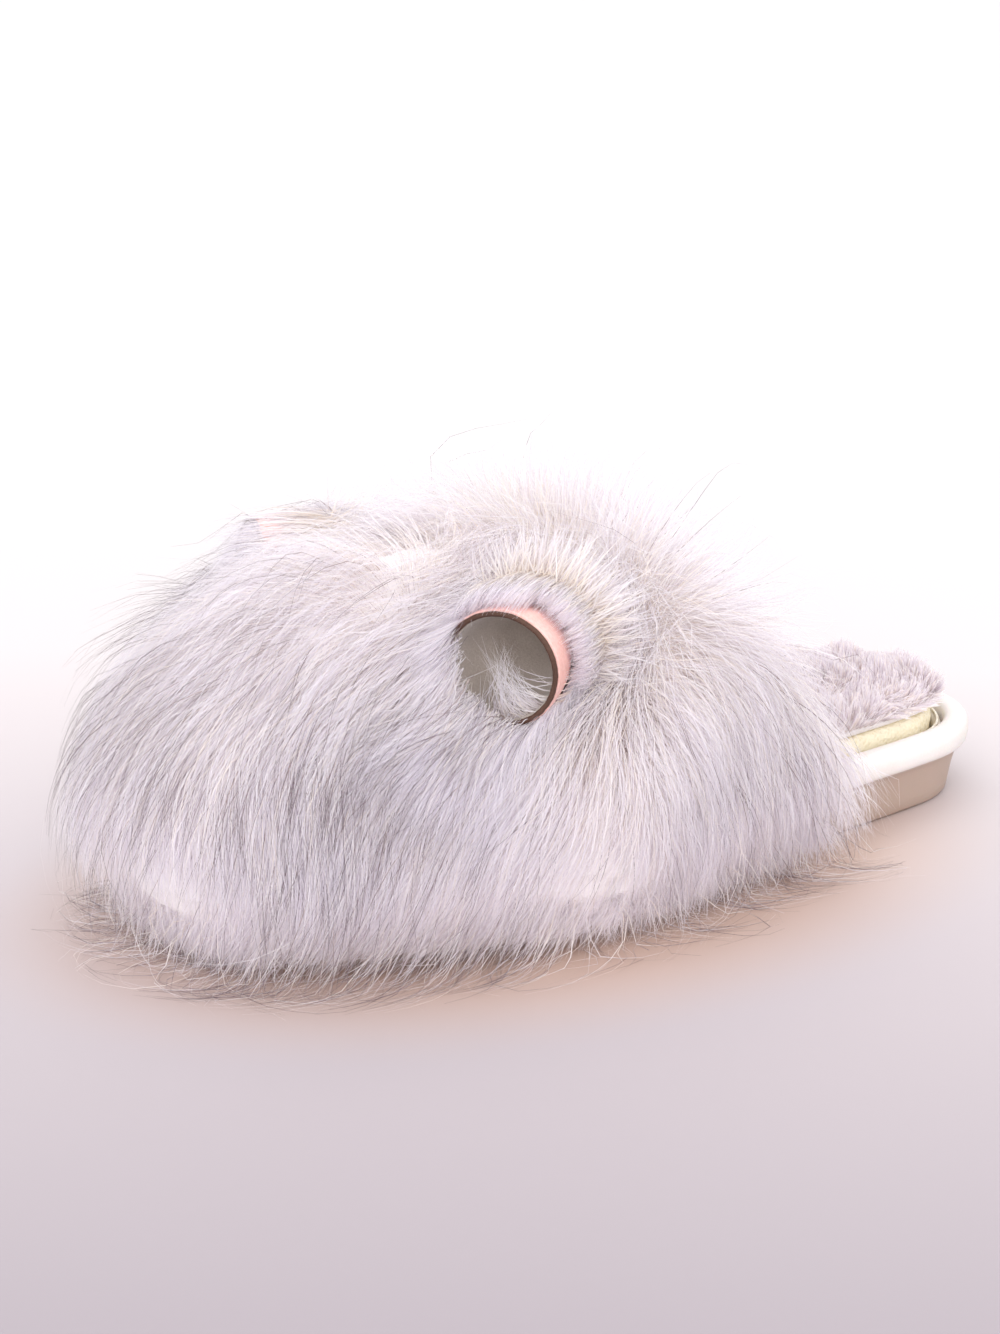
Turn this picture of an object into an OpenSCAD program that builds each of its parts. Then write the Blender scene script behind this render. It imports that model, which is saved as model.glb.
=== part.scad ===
// Fluffy house slipper: open-back mule, closed toe, two rolled leatherette ears.
// Left foot. X points to the outer side of the foot, Y to the heel, Z up, millimetres.
// The origin is on the ground face of the outsole, midway between toe and heel.

/* [Sole outline] */
// Length of the outsole, toe to heel
sole_len = 262; // [240:1:300]
// Radius of the heel end of the outsole
heel_r = 38.5; // [34:0.5:42]
// Radius of the toe end of the outsole
toe_r = 41; // [36:0.5:46]
// Radius of the ball of the foot, inner side
inner_ball_r = 45; // [40:0.5:50]
// Radius of the ball of the foot, outer side
outer_ball_r = 44; // [40:0.5:50]
// Sideways place of the inner ball's centre
inner_ball_x = -6; // [-10:0.5:-2]
// Sideways place of the outer ball's centre
outer_ball_x = 8; // [3:0.5:12]
// Sideways place of the toe's centre
toe_x = -5; // [-9:0.5:0]
// Depth of the waist on the inner side
inner_waist = 5; // [0:0.5:8]
// Depth of the waist on the outer side
outer_waist = 2.5; // [0:0.5:6]

/* [Outsole] */
// Height of the outsole with its lip
sole_h = 21.5; // [18:0.5:28]
// Height of the lip
lip_h = 7.5; // [5:0.5:9]
// Width of the lip's top
lip_w = 7; // [5:0.5:9]
// How far the wall stands in at the ground
wall_draft = 5.5; // [3:0.5:7]
// Thickness of the outsole under the foot
sole_floor = 10; // [8:0.5:12]
// Width of a tread groove
groove_w = 2.4; // [1.5:0.1:4]
// Depth of a tread groove
groove_d = 1.6; // [1:0.1:3]
// Distance between tread grooves
groove_pitch = 13; // [9:1:20]

/* [Insole] */
// Thickness of the insole board
board_t = 1.8; // [1:0.1:3]
// Thickness of the insole foam
foam_t = 11.5; // [8:0.5:16]
// Thickness of the insole plush
plush_t = 8.5; // [6:0.5:12]
// Width of the channel between the lip and the plush
channel_w = 3.2; // [2.8:0.1:5]
// Depth of the channel below the lip's top
channel_d = 2.7; // [2:0.1:4]

/* [Upper] */
// Distance from the toe's tip back to the seam between the two fur panels
seam_run = 79; // [72:1:86]
// Height of the backing's ridge at the seam
seam_ridge_z = 79; // [72:1:90]
// Height of the backing's ridge at the opening
collar_ridge_z = 80; // [72:1:92]
// Distance from the seam back to the opening's edge at the top
instep_run = 44; // [34:1:60]
// How much further back the opening's edge is at the sides than at the top
collar_rake = 42; // [32:1:52]
// Height at which the upper is widest
widest_z = 38; // [32:1:44]
// Thickness of the fleece lining
lining_t = 1.5; // [1:0.1:2.5]
// Thickness of the vamp foam
vamp_foam_t = 3; // [2:0.5:5]
// Thickness of the fur's woven backing
backing_t = 1.4; // [1:0.1:2]
// Diameter of the cord under the collar binding
binding_d = 4.4; // [3:0.2:6]

/* [Fur] */
// Depth of the pile at the sides
pile_side = 19; // [14:0.5:24]
// Depth of the pile at the toe
pile_toe = 25; // [20:0.5:30]
// Depth of the pile on top
pile_top = 23; // [16:0.5:28]
// How far the pile hangs behind the opening's edge
pile_back = 10; // [6:1:16]
// Height of the pile's hem above the ground
hem_z = 4; // [3:0.5:8]

/* [Ears] */
// Radius of the ear's rim
ear_r = 15; // [13:0.5:17]
// Length of the ear from its root to its rim
ear_len = 29.5; // [26:0.5:33]
// Radius of the ear's pinched root
ear_root_r = 4.5; // [3.5:0.1:6]
// Thickness of the ear's leatherette
ear_leather_t = 0.9; // [0.6:0.1:1.4]
// Thickness of the ear's lining
ear_lining_t = 0.8; // [0.5:0.1:1.2]
// Radius of the sealed edge round the ear's rim
ear_edge_r = 0.65; // [0.4:0.05:1]
// Sideways place of the ear's root
ear_root_x = 31; // [28:0.5:36]
// Gap between the ear's root and the fur's backing
ear_gap = 2.2; // [1.5:0.1:4]
// Angle of the ear outwards from straight ahead
ear_yaw = 25; // [10:1:40]
// Angle of the left ear above level
ear_left_pitch = -3; // [-8:1:20]
// Angle of the right ear above level
ear_right_pitch = 4; // [-2:1:20]

/* [Hidden] */

play = 0.3;          // clearance between soft layers
bond = 0.1;          // glue line between the insole's layers
lip_play = 1.2;      // clearance of the upper over the lip
seam_gap = 1.6;      // gap between the fur panels at their seam
thread_r = 0.4;      // radius of the sewing threads
stitch_len = 3.2;
stitch_pitch = 5;
wall_top_in = 3;     // how far the wall stands in under the lip
inner_ball_run = 32; // distance between the centres of the toe and the inner ball
outer_ball_run = 44; // distance between the centres of the toe and the outer ball
thread_sides = 16;
cup_sides = 48;
edge_sides = 24;
arc_step = 7;        // degrees between the points of an outline's arc
side_steps = 10;     // points along an outline's side
dome_steps = 10;     // levels from the ridge to the widest point
tuck_steps = 4;      // levels from the widest point to the lip
toe_steps = 26;      // columns round the toe
instep_steps = 9;    // stations from the seam to the collar

// ---- sole outline: four circles joined by tangents, walked anticlockwise from the heel ----
toe_y = toe_r - sole_len / 2;
inner_ball_y = toe_y + inner_ball_run;
outer_ball_y = toe_y + outer_ball_run;
rounds = [[0, sole_len / 2 - heel_r, heel_r], [inner_ball_x, inner_ball_y, inner_ball_r],
          [toe_x, toe_y, toe_r], [outer_ball_x, outer_ball_y, outer_ball_r]];
waists = [inner_waist, 0, 0, outer_waist];

function xy(v) = [v.x, v.y];
function heading(v) = atan2(v.y, v.x);
function polar(r, a) = [r * cos(a), r * sin(a)];
// Direction of the outward normal of the tangent from circle a to circle b
function tangent_angle(a, b) = heading(xy(b) - xy(a)) - acos((a.z - b.z) / norm(xy(b) - xy(a)));
function lift(a, low) = a < low ? lift(a + 360, low) : a;
function arc(c, a0, a1, grow) =
    let (n = max(1, ceil((a1 - a0) / arc_step)))
    [for (i = [0 : n]) xy(c) + polar(c.z + grow, a0 + (a1 - a0) * i / n)];
function side(p, q, depth) =
    let (d = q - p, n = [d.y, -d.x] / norm(d))
    [for (i = [1 : side_steps - 1]) let (u = i / side_steps) p + d * u - n * depth * pow(sin(180 * u), 2)];
function outline(grow) = [
    for (i = [0 : 3])
        let (before = rounds[(i + 3) % 4], here = rounds[i], after = rounds[(i + 1) % 4],
             a0 = tangent_angle(before, here), a1 = lift(tangent_angle(here, after), a0),
             arc_points = arc(here, a0, a1, grow),
             next = xy(after) + polar(after.z + grow, a1),
             last = arc_points[len(arc_points) - 1])
        each concat(arc_points, waists[i] > 0 ? side(last, next, waists[i]) : [])];

// Distance from a point inside an outline to the outline, along a unit direction
function crossing(o, u, a, b) =
    let (e = b - a, den = cross(u, e))
    den == 0 ? 0 :
    let (t = cross(a - o, e) / den, s = cross(a - o, u) / den)
    s >= 0 && s <= 1 && t > 0 ? t : 0;
function reach(line, o, u) =
    max([for (i = [0 : len(line) - 1]) crossing(o, u, line[i], line[(i + 1) % len(line)])]);

// ---- levels of the sole ----
channel_z = sole_h - channel_d;
insole_grow = -lip_w - channel_w;
board_z = sole_floor + bond;
foam_z = board_z + board_t + bond;
plush_z = foam_z + foam_t + bond;
plush_top = plush_z + plush_t;
wall_layers = 4;
wall_h = sole_h - lip_h;
lip_layers = [[0.10, 1.3], [0.20, 0.4], [0.40, 0], [0.15, 0.4], [0.15, 1.3]]; // share of lip_h, set-in

// ---- layers of the upper: each surface stands at its own distance outside the outline ----
fur_in = 0;
foam_out = fur_in - play;
foam_in = foam_out - vamp_foam_t;
lining_out = foam_in - play;
lining_in = lining_out - lining_t;
tuck = lip_w + 2 * play + lining_out; // how far the upper draws in, so that its lining passes inside the lip
over_lip_z = sole_h + lip_play;
seam_y = seam_run - sole_len / 2;
collar_top_y = seam_y + instep_run;
collar_side_y = collar_top_y + collar_rake;
lining_hem_z = channel_z + play;
dome_power = 1.2;    // above 1, the dome's shoulders fall away faster than an ellipse's
// A surface: its distance outside the outline, the outline at its widest level, and at its hem
function surface_at(grow) = [grow, outline(grow), outline(grow - tuck)];
lining_inside = surface_at(lining_in);
lining_outside = surface_at(lining_out);
foam_inside = surface_at(foam_in);
foam_outside = surface_at(foam_out);
fur_inside = surface_at(fur_in);
skin = surface_at(fur_in + backing_t);
lip_face = outline(fur_in + lip_play);

// A column is a place round the upper: [0, angle] in the toe's fan, where 0 is the outer side and
// 180 the inner side, or [1, side, share] from the seam (0) to the opening (1), side +1 outer, -1 inner.
function dome_angle(j) = 90 * min(1, j / dome_steps);
function tuck_share(j) = max(0, (j - dome_steps) / tuck_steps);
function collar_y(j) = collar_top_y + (collar_side_y - collar_top_y) * (1 - cos(dome_angle(j)));
function station_y(share, j, back) =
    let (start = seam_y + seam_gap / 2) start + share * (collar_y(j) + back - start);
function ridge(y) = seam_ridge_z + (collar_ridge_z - seam_ridge_z)
    * sin(90 * max(0, min(1, (y - seam_y) / (collar_top_y - seam_y))));
function foot(c, j, back) = c[0] == 0 ? [0, seam_y - seam_gap / 2] : [0, station_y(c[2], j, back)];
function way(c) = c[0] == 0 ? [cos(c[1]), -sin(c[1])] : [c[1], 0];
function place(o, u, r, z) = [o.x + u.x * r, o.y + u.y * r, z];
function rise(a) = pow(cos(a), dome_power);

// Point of a lining, foam or backing surface at a column and level
function layer_point(c, j, s) =
    let (o = foot(c, j, 0), u = way(c), wide = reach(s[1], o, u), a = dome_angle(j), t = tuck_share(j),
         hem = t > 0 ? reach(s[2], o, u) : wide)
    place(o, u, wide * sin(a) + (hem - wide) * (1 - cos(90 * t)),
          widest_z + (ridge(o.y) + s[0] - widest_z) * rise(a) - (widest_z - over_lip_z) * sin(90 * t));

// ---- ears ----
// Axis of an ear from its root to its rim, for the outer (1) or inner (-1) side, folded onto +X
function ear_pitch(side) = side > 0 ? ear_left_pitch : ear_right_pitch;
function ear_axis(side) = let (p = ear_pitch(side))
    [cos(p) * sin(ear_yaw), -cos(p) * cos(ear_yaw), sin(p)];
seam_reach = reach(skin[1], [0, seam_y], [1, 0]);
seam_rise = seam_ridge_z + backing_t - widest_z;
ear_angle = asin(ear_root_x / seam_reach);
seam_tilt = atan(seam_rise / seam_reach * dome_power * pow(cos(ear_angle), dome_power - 2) * sin(ear_angle));
ear_lift = ear_root_r + ear_gap;
ear_root = [ear_root_x + ear_lift * sin(seam_tilt), seam_y,
            widest_z + seam_rise * rise(ear_angle) + ear_lift * cos(seam_tilt)];
hollow_near = 21;    // distance from an ear's axis within which the pile lies flat
hollow_far = 37;     // distance at which the pile has its whole depth again

mouth_room = 8;      // how far past an ear's rim the pile lies flat
function smooth(t) = let (s = max(0, min(1, t))) s * s * (3 - 2 * s);
function to_axis(p) =
    let (v = [abs(p.x), p.y, p.z] - ear_root, axis = ear_axis(p.x),
         t = max(0, min(ear_len + mouth_room, v * axis)))
    norm(v - axis * t);
function pile_share(p) = smooth((to_axis(p) - hollow_near) / (hollow_far - hollow_near));

// Depth of the pile at a column and level, before the ears press it flat
function pile_depth(c, j) =
    let (round = c[0] == 0 ? pow(sin(c[1]), 2) : 0, low = pow(sin(dome_angle(j)), 2))
    pile_top + (pile_side + (pile_toe - pile_side) * round - pile_top) * low;
pile_widest_z = 30;
hem_in = 0.36;       // how much of its depth the pile draws in from its widest level to its hem
function pile_point(c, j) =
    let (o = foot(c, j, c[0] == 0 ? 0 : c[2] * pile_back), u = way(c), a = dome_angle(j), t = tuck_share(j),
         r = reach(skin[1], o, u), depth = pile_depth(c, j),
         skin_z = widest_z + (ridge(o.y) + backing_t - widest_z) * rise(a),
         share = pile_share(place(o, u, (r + depth / 2) * sin(a), skin_z + depth / 2 * rise(a))),
         d = depth * share, wide_z = widest_z + (pile_widest_z - widest_z) * share)
    place(o, u, (r + d) * sin(a) - hem_in * depth * pow(t, 2),
          wide_z + (ridge(o.y) + backing_t + d - wide_z) * rise(a) - (wide_z - hem_z) * t);

// ---- closed shells ----
inner_levels = dome_steps + tuck_steps;
hem_levels = 2;
all_levels = inner_levels + hem_levels;
// Inner face of a fur panel: backing down to the lip, out over it and down its side to the hem
function fur_inner(c, j) =
    j <= inner_levels ? layer_point(c, j, fur_inside) :
    let (o = foot(c, inner_levels, 0), u = way(c), r = reach(lip_face, o, u))
    place(o, u, r, j == inner_levels + 1 ? over_lip_z : hem_z);
// Outer face, with its last levels spread so that they match the inner face's
function fur_outer(c, j) = pile_point(c, j <= dome_steps ? j :
    dome_steps + tuck_steps * (j - dome_steps) / (tuck_steps + hem_levels));

function quad(a, b, c, d) = [[a, b, c], [a, c, d]];
// Skin of rows that share their first point: wall between rows i and i+1 of grid g, levels 0 to n
function dome_faces(rows, n, id, flip) = [
    for (i = [0 : rows - 2], j = [0 : n - 1])
        let (a = id(i, j), b = id(i, j + 1), c = id(i + 1, j + 1), d = id(i + 1, j))
        for (f = a == d ? [[a, b, c]] : quad(a, b, c, d)) flip ? [f[0], f[2], f[1]] : f];

// Half dome round the toe, closed at the seam's plane. outer and inner hold one row per column,
// and every row starts at the pole.
module toe_shell(outer, inner) {
    rows = len(outer);
    n = len(outer[0]) - 1;
    shift = rows * n + 1;
    id = function (i, j) j == 0 ? 0 : 1 + i * n + j - 1;
    in = function (i, j) shift + id(i, j);
    points = concat([outer[0][0]], [for (r = outer) for (j = [1 : n]) r[j]],
                    [inner[0][0]], [for (r = inner) for (j = [1 : n]) r[j]]);
    hem = [for (i = [0 : rows - 2]) each quad(id(i, n), in(i, n), in(i + 1, n), id(i + 1, n))];
    start = [for (j = [0 : n - 1]) each quad(id(0, j), in(0, j), in(0, j + 1), id(0, j + 1))];
    end = [for (j = [0 : n - 1])
        each quad(id(rows - 1, j), id(rows - 1, j + 1), in(rows - 1, j + 1), in(rows - 1, j))];
    polyhedron(points, concat(dome_faces(rows, n, id, false), dome_faces(rows, n, in, true),
                              hem, start, end), convexity = 6);
}

// Arched shell from the seam to the opening. outer and inner hold one arch per station.
module arch_shell(outer, inner) {
    stations = len(outer);
    n = len(outer[0]);
    id = function (k, v) k * n + v;
    in = function (k, v) stations * n + k * n + v;
    last = stations - 1;
    skin = [for (k = [0 : last - 1], v = [0 : n - 2])
        each quad(id(k, v), id(k, v + 1), id(k + 1, v + 1), id(k + 1, v))];
    inside = [for (k = [0 : last - 1], v = [0 : n - 2])
        each quad(in(k, v), in(k + 1, v), in(k + 1, v + 1), in(k, v + 1))];
    ends = [for (v = [0 : n - 2])
        each concat(quad(id(0, v), in(0, v), in(0, v + 1), id(0, v + 1)),
                    quad(id(last, v), id(last, v + 1), in(last, v + 1), in(last, v)))];
    hems = [for (k = [0 : last - 1])
        each concat(quad(id(k, 0), id(k + 1, 0), in(k + 1, 0), in(k, 0)),
                    quad(id(k, n - 1), in(k, n - 1), in(k + 1, n - 1), id(k + 1, n - 1)))];
    polyhedron([for (g = [outer, inner]) for (arch = g) each arch],
               concat(skin, inside, ends, hems), convexity = 6);
}

// Columns of a whole vamp, from the opening's outer side round the toe to its inner side
whole_columns = concat(
    [for (k = [instep_steps : -1 : 1]) [1, 1, k / instep_steps]],
    [for (i = [0 : toe_steps]) [0, 180 * i / toe_steps]],
    [for (k = [1 : instep_steps]) [1, -1, k / instep_steps]]);

// Vamp in one piece: rows on the two sides share the ridge's points
module vamp_shell(outer, inner) {
    rows = len(outer);
    n = len(outer[0]) - 1;
    m = instep_steps;
    ridge_id = function (i) i < m ? m - i : i > rows - 1 - m ? i - (rows - 1 - m) : 0;
    id = function (i, j) j == 0 ? ridge_id(i) : m + 1 + i * n + j - 1;
    shift = m + 1 + rows * n;
    in = function (i, j) shift + id(i, j);
    points = [for (g = [outer, inner])
        each concat([for (k = [0 : m]) g[m - k][0]], [for (r = g) for (j = [1 : n]) r[j]])];
    hem = [for (i = [0 : rows - 2]) each quad(id(i, n), in(i, n), in(i + 1, n), id(i + 1, n))];
    edge = [for (j = [0 : n - 1])
        each concat(quad(id(0, j), in(0, j), in(0, j + 1), id(0, j + 1)),
                    quad(id(rows - 1, j), id(rows - 1, j + 1), in(rows - 1, j + 1), in(rows - 1, j)))];
    polyhedron(points, concat(dome_faces(rows, n, id, false), dome_faces(rows, n, in, true), hem, edge),
               convexity = 6);
}

// ---- sole pieces ----
module slab(grow, z, h) { translate([0, 0, z]) linear_extrude(h) polygon(outline(grow)); }

module outsole() {
    color("#e9e2d8") difference() {
        union() {
            for (i = [0 : wall_layers - 1])
                slab(-wall_draft + (wall_draft - wall_top_in) * i / (wall_layers - 1),
                     wall_h * i / wall_layers, wall_h / wall_layers);
            for (i = [0 : len(lip_layers) - 1])
                slab(-lip_layers[i][1], wall_h + lip_h * sum_before(i), lip_h * lip_layers[i][0]);
        }
        slab(-lip_w, sole_floor, sole_h);
        for (y = [-sole_len / 2 + groove_pitch : groove_pitch : sole_len / 2 - groove_pitch / 2])
            if (abs(y) > groove_pitch / 2) translate([-heel_r - sole_len / 4, y - groove_w / 2, -1])
                cube([2 * heel_r + sole_len / 2, groove_w, groove_d + 1]);
    }
}
function sum_before(i) = i == 0 ? 0 : lip_layers[i - 1][0] + sum_before(i - 1);

module insole_board() { color("#c9b89c") slab(-lip_w - play, board_z, board_t); }
module insole_foam() { color("#f1e6c8") slab(insole_grow - play, foam_z, foam_t); }
module insole_plush() {
    crown = 2.2;     // how far the plush rounds over at its rim
    color("#f3f1ee") {
        slab(insole_grow - play, plush_z, plush_t - crown);
        slab(insole_grow - play - crown, plush_top - crown, crown);
    }
}

// Piping that fills the channel between the lip and the plush
module edge_binding() {
    color("#efe6cf") difference() {
        slab(-lip_w - play, foam_z, channel_z - foam_z);
        slab(insole_grow, foam_z - 1, channel_z - foam_z + 2);
    }
}

module stitch() { cylinder(h = stitch_len, r = thread_r, center = true, $fn = thread_sides); }

// Stitches that lie along the piping, from one side of the opening round the heel to the other
module rim_stitches() {
    line = outline(-lip_w - channel_w / 2 - play / 2);
    color("#f4ecd6") for (i = [0 : len(line) - 1]) {
        p = line[i];
        d = line[(i + 1) % len(line)] - p;
        count = floor(norm(d) / stitch_pitch + 0.5);
        for (k = [1 : 1 : count]) {
            mid = p + d * (k - 0.5) / count;
            if (mid.y > collar_side_y + stitch_pitch)
                translate([mid.x, mid.y, channel_z + thread_r])
                    rotate([0, 90, heading(d)]) stitch();
        }
    }
}

// ---- upper pieces ----
module vamp_layer(out, in, hem_z) {
    function row(c, s) = concat([for (j = [0 : inner_levels]) layer_point(c, j, s)],
        let (end = layer_point(c, inner_levels, s)) hem_z < over_lip_z ? [[end.x, end.y, hem_z]] : []);
    vamp_shell([for (c = whole_columns) row(c, out)], [for (c = whole_columns) row(c, in)]);
}
module vamp_lining() { color("#efe7e0") vamp_layer(lining_outside, lining_inside, lining_hem_z); }
module vamp_foam() { color("#f6ecd0") vamp_layer(foam_outside, foam_inside, over_lip_z); }

toe_columns = [for (i = [0 : toe_steps]) [0, 180 * i / toe_steps]];
module fur_toe_panel() {
    color("#f4f2f5") toe_shell([for (c = toe_columns) [for (j = [0 : all_levels]) fur_outer(c, j)]],
                               [for (c = toe_columns) [for (j = [0 : all_levels]) fur_inner(c, j)]]);
}
function arch(share, f) = concat([for (j = [all_levels : -1 : 0]) f([1, 1, share], j)],
                                 [for (j = [1 : all_levels]) f([1, -1, share], j)]);
module fur_instep_panel() {
    shares = [for (k = [0 : instep_steps]) k / instep_steps];
    color("#f1eff3") arch_shell([for (s = shares) arch(s, function (c, j) fur_outer(c, j))],
                                [for (s = shares) arch(s, function (c, j) fur_inner(c, j))]);
}

// Tube along a path, closed at both ends; frames hold two unit vectors across the path
module tube(path, frames, r, sides) {
    n = len(path);
    points = [for (i = [0 : n - 1], k = [0 : sides - 1])
        path[i] + r * (frames[i][0] * cos(360 * k / sides) + frames[i][1] * sin(360 * k / sides))];
    wall = [for (i = [0 : n - 2], k = [0 : sides - 1]) let (l = (k + 1) % sides)
        each quad(i * sides + k, (i + 1) * sides + k, (i + 1) * sides + l, i * sides + l)];
    polyhedron(points, concat(wall, [[for (k = [0 : sides - 1]) k]],
                              [[for (k = [sides - 1 : -1 : 0]) (n - 1) * sides + k]]), convexity = 6);
}
function unit(v) = v / norm(v);
// Binding round the opening, behind the edges of the lining, the foam and the backing
module collar_binding() {
    rake = collar_rake / (collar_ridge_z - widest_z);
    back = binding_d / 2 + 3 * play * pow(max(1, rake), 2);
    middle = surface_at((lining_in + fur_in) / 2);
    slope = atan(rake);
    function at(side, j) = let (lean = slope * (1 - tuck_share(j)))
        layer_point([1, side, 1], j, middle) + back * [0, cos(lean), sin(lean)];
    path = concat([for (j = [inner_levels - 1 : -1 : 0]) at(1, j)],
                  [for (j = [1 : inner_levels - 1]) at(-1, j)]);
    n = len(path);
    frames = [for (i = [0 : n - 1])
        let (d = unit(path[min(n - 1, i + 1)] - path[max(0, i - 1)]), a = unit(cross(d, [0, 1, 0])))
        [a, cross(d, a)]];
    color("#efe3d6") tube(path, frames, binding_d / 2, 8);
}

// Overcast stitches in the gap between the two fur panels
module panel_seam_thread() {
    color("#e8e4e6") for (side = [1, -1], j = [1 : dome_steps]) {
        a = layer_point([1, side, 0], j - 1, skin);
        b = layer_point([1, side, 0], j, skin);
        count = max(1, floor(norm(b - a) / stitch_pitch));
        for (k = [1 : count]) {
            mid = a + (b - a) * (k - 0.5) / count;
            translate([mid.x, seam_y, mid.z]) rotate([0, atan2(b.x - a.x, b.z - a.z), 0])
                stitch();
        }
    }
}

// ---- ear pieces: a rolled cup whose closed root lies on the seam ----
cup_steps = 9;
cup_power = 0.85;    // below 1, the cup opens fast from its root
function cup_r(t, set_in) = ear_root_r + (ear_r - ear_root_r) * pow(sin(90 * t), cup_power) - set_in;
// Half profile of a cup's wall: round nose at the root, then the flare to the rim
function cup_line(set_in) = concat(
    [for (a = [0 : 18 : 72]) [(ear_root_r - set_in) * sin(a), -(ear_root_r - set_in) * cos(a)]],
    [for (i = [0 : cup_steps]) [cup_r(i / cup_steps, set_in), ear_len * i / cup_steps]]);
module cup(set_out, set_in) {
    outer = cup_line(set_out);
    inner = cup_line(set_in);
    rotate_extrude($fn = cup_sides) polygon(concat(outer, [for (i = [len(inner) - 1 : -1 : 0]) inner[i]]));
}
module ear_place(side) {
    mirror([side < 0 ? 1 : 0, 0, 0]) translate(ear_root)
        rotate([0, 90 - ear_pitch(side), heading(xy(ear_axis(side)))]) children();
}
module ear_shell(side) { color("#f0bfae") ear_place(side) cup(0, ear_leather_t); }
module ear_lining(side) {
    color("#c9c0b6") ear_place(side) cup(ear_leather_t + bond, ear_leather_t + bond + ear_lining_t);
}
module ear_edge(side) {
    mid = ear_r - (ear_leather_t + bond + ear_lining_t) / 2;
    color("#4b3227") ear_place(side) translate([0, 0, ear_len + ear_edge_r])
        rotate_extrude($fn = cup_sides) translate([mid, 0]) circle(r = ear_edge_r, $fn = edge_sides);
}
module ear_left_shell() { ear_shell(1); }
module ear_left_lining() { ear_lining(1); }
module ear_left_edge() { ear_edge(1); }
module ear_right_shell() { ear_shell(-1); }
module ear_right_lining() { ear_lining(-1); }
module ear_right_edge() { ear_edge(-1); }

outsole();
insole_board();
insole_foam();
insole_plush();
edge_binding();
rim_stitches();
vamp_lining();
vamp_foam();
collar_binding();
fur_toe_panel();
fur_instep_panel();
panel_seam_thread();
ear_left_shell();
ear_left_lining();
ear_left_edge();
ear_right_shell();
ear_right_lining();
ear_right_edge();
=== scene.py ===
"""Long-haired faux-fur house slipper with two rolled leatherette ears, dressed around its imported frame."""
import logging
import math
from collections.abc import Callable, Sequence
from dataclasses import dataclass, field
from enum import Enum

import bmesh
import bpy
import numpy as np
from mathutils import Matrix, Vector
from mathutils.bvhtree import BVHTree
from mathutils.kdtree import KDTree


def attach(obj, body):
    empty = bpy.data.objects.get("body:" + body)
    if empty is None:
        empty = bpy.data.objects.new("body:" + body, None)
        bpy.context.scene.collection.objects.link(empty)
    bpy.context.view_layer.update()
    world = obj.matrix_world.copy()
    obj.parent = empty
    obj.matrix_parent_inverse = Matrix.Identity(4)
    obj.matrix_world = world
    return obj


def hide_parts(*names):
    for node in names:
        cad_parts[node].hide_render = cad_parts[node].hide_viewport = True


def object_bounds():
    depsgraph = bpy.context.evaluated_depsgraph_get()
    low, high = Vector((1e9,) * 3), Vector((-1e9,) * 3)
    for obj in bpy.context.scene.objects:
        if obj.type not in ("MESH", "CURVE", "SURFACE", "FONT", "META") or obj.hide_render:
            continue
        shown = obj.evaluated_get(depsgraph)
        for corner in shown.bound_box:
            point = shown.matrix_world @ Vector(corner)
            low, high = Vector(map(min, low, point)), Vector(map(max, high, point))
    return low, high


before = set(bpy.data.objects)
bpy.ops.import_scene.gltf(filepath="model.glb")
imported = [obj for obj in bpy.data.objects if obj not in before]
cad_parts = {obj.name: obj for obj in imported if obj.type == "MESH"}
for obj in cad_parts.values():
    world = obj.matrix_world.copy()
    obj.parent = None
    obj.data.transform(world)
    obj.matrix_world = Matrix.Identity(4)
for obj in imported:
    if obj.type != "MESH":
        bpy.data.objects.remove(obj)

CAD_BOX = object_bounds()
MM = 0.001
SEED = 4127
BODY = "slipper"
SEAM_Y = -52.0
STRAND_UV = "OFBake"
LOG = logging.getLogger("slipper")
Array = np.ndarray


# ---------------------------------------------------------------- colour and materials


def linear(code: str) -> tuple[float, float, float, float]:
    """Turns an sRGB hex code into linear red, green, blue and full alpha.

    Args:
        code: The colour as "#rrggbb".

    Returns:
        The linear colour.
    """
    parts = [int(code[i:i + 2], 16) / 255 for i in (1, 3, 5)]
    return (*[c / 12.92 if c <= 0.04045 else ((c + 0.055) / 1.055) ** 2.4 for c in parts], 1.0)


def add_node(tree: bpy.types.NodeTree, kind: str, settings: dict | None = None,
             inputs: dict | None = None) -> bpy.types.Node:
    """Adds one node, with its settings, its input values and its links.

    Args:
        tree: The node tree.
        kind: The node's type name without its ShaderNode prefix.
        settings: Properties of the node.
        inputs: Input name or number, to a value or to the output socket that feeds it.

    Returns:
        The new node.
    """
    node = tree.nodes.new("ShaderNode" + kind)
    for name, value in (settings or {}).items():
        setattr(node, name, value)
    for key, value in (inputs or {}).items():
        if isinstance(value, bpy.types.NodeSocket):
            tree.links.new(value, node.inputs[key])
        else:
            node.inputs[key].default_value = value
    return node


def set_ramp(node: bpy.types.Node, stops: Sequence[tuple[float, str]]) -> bpy.types.NodeSocket:
    """Gives a colour ramp its stops.

    Args:
        node: The ramp node.
        stops: Position and hex colour of each stop.

    Returns:
        The ramp's colour output.
    """
    ramp = node.color_ramp
    while len(ramp.elements) < len(stops):
        ramp.elements.new(0.5)
    for element, (place, code) in zip(ramp.elements, stops):
        element.position = place
        element.color = linear(code)
    return node.outputs["Color"]


class Grain(Enum):
    """How a finish's small pattern is laid out."""

    SPECKLE = "speckle"
    CELLS = "cells"
    PEBBLE = "pebble"
    RIBS = "ribs"


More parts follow.
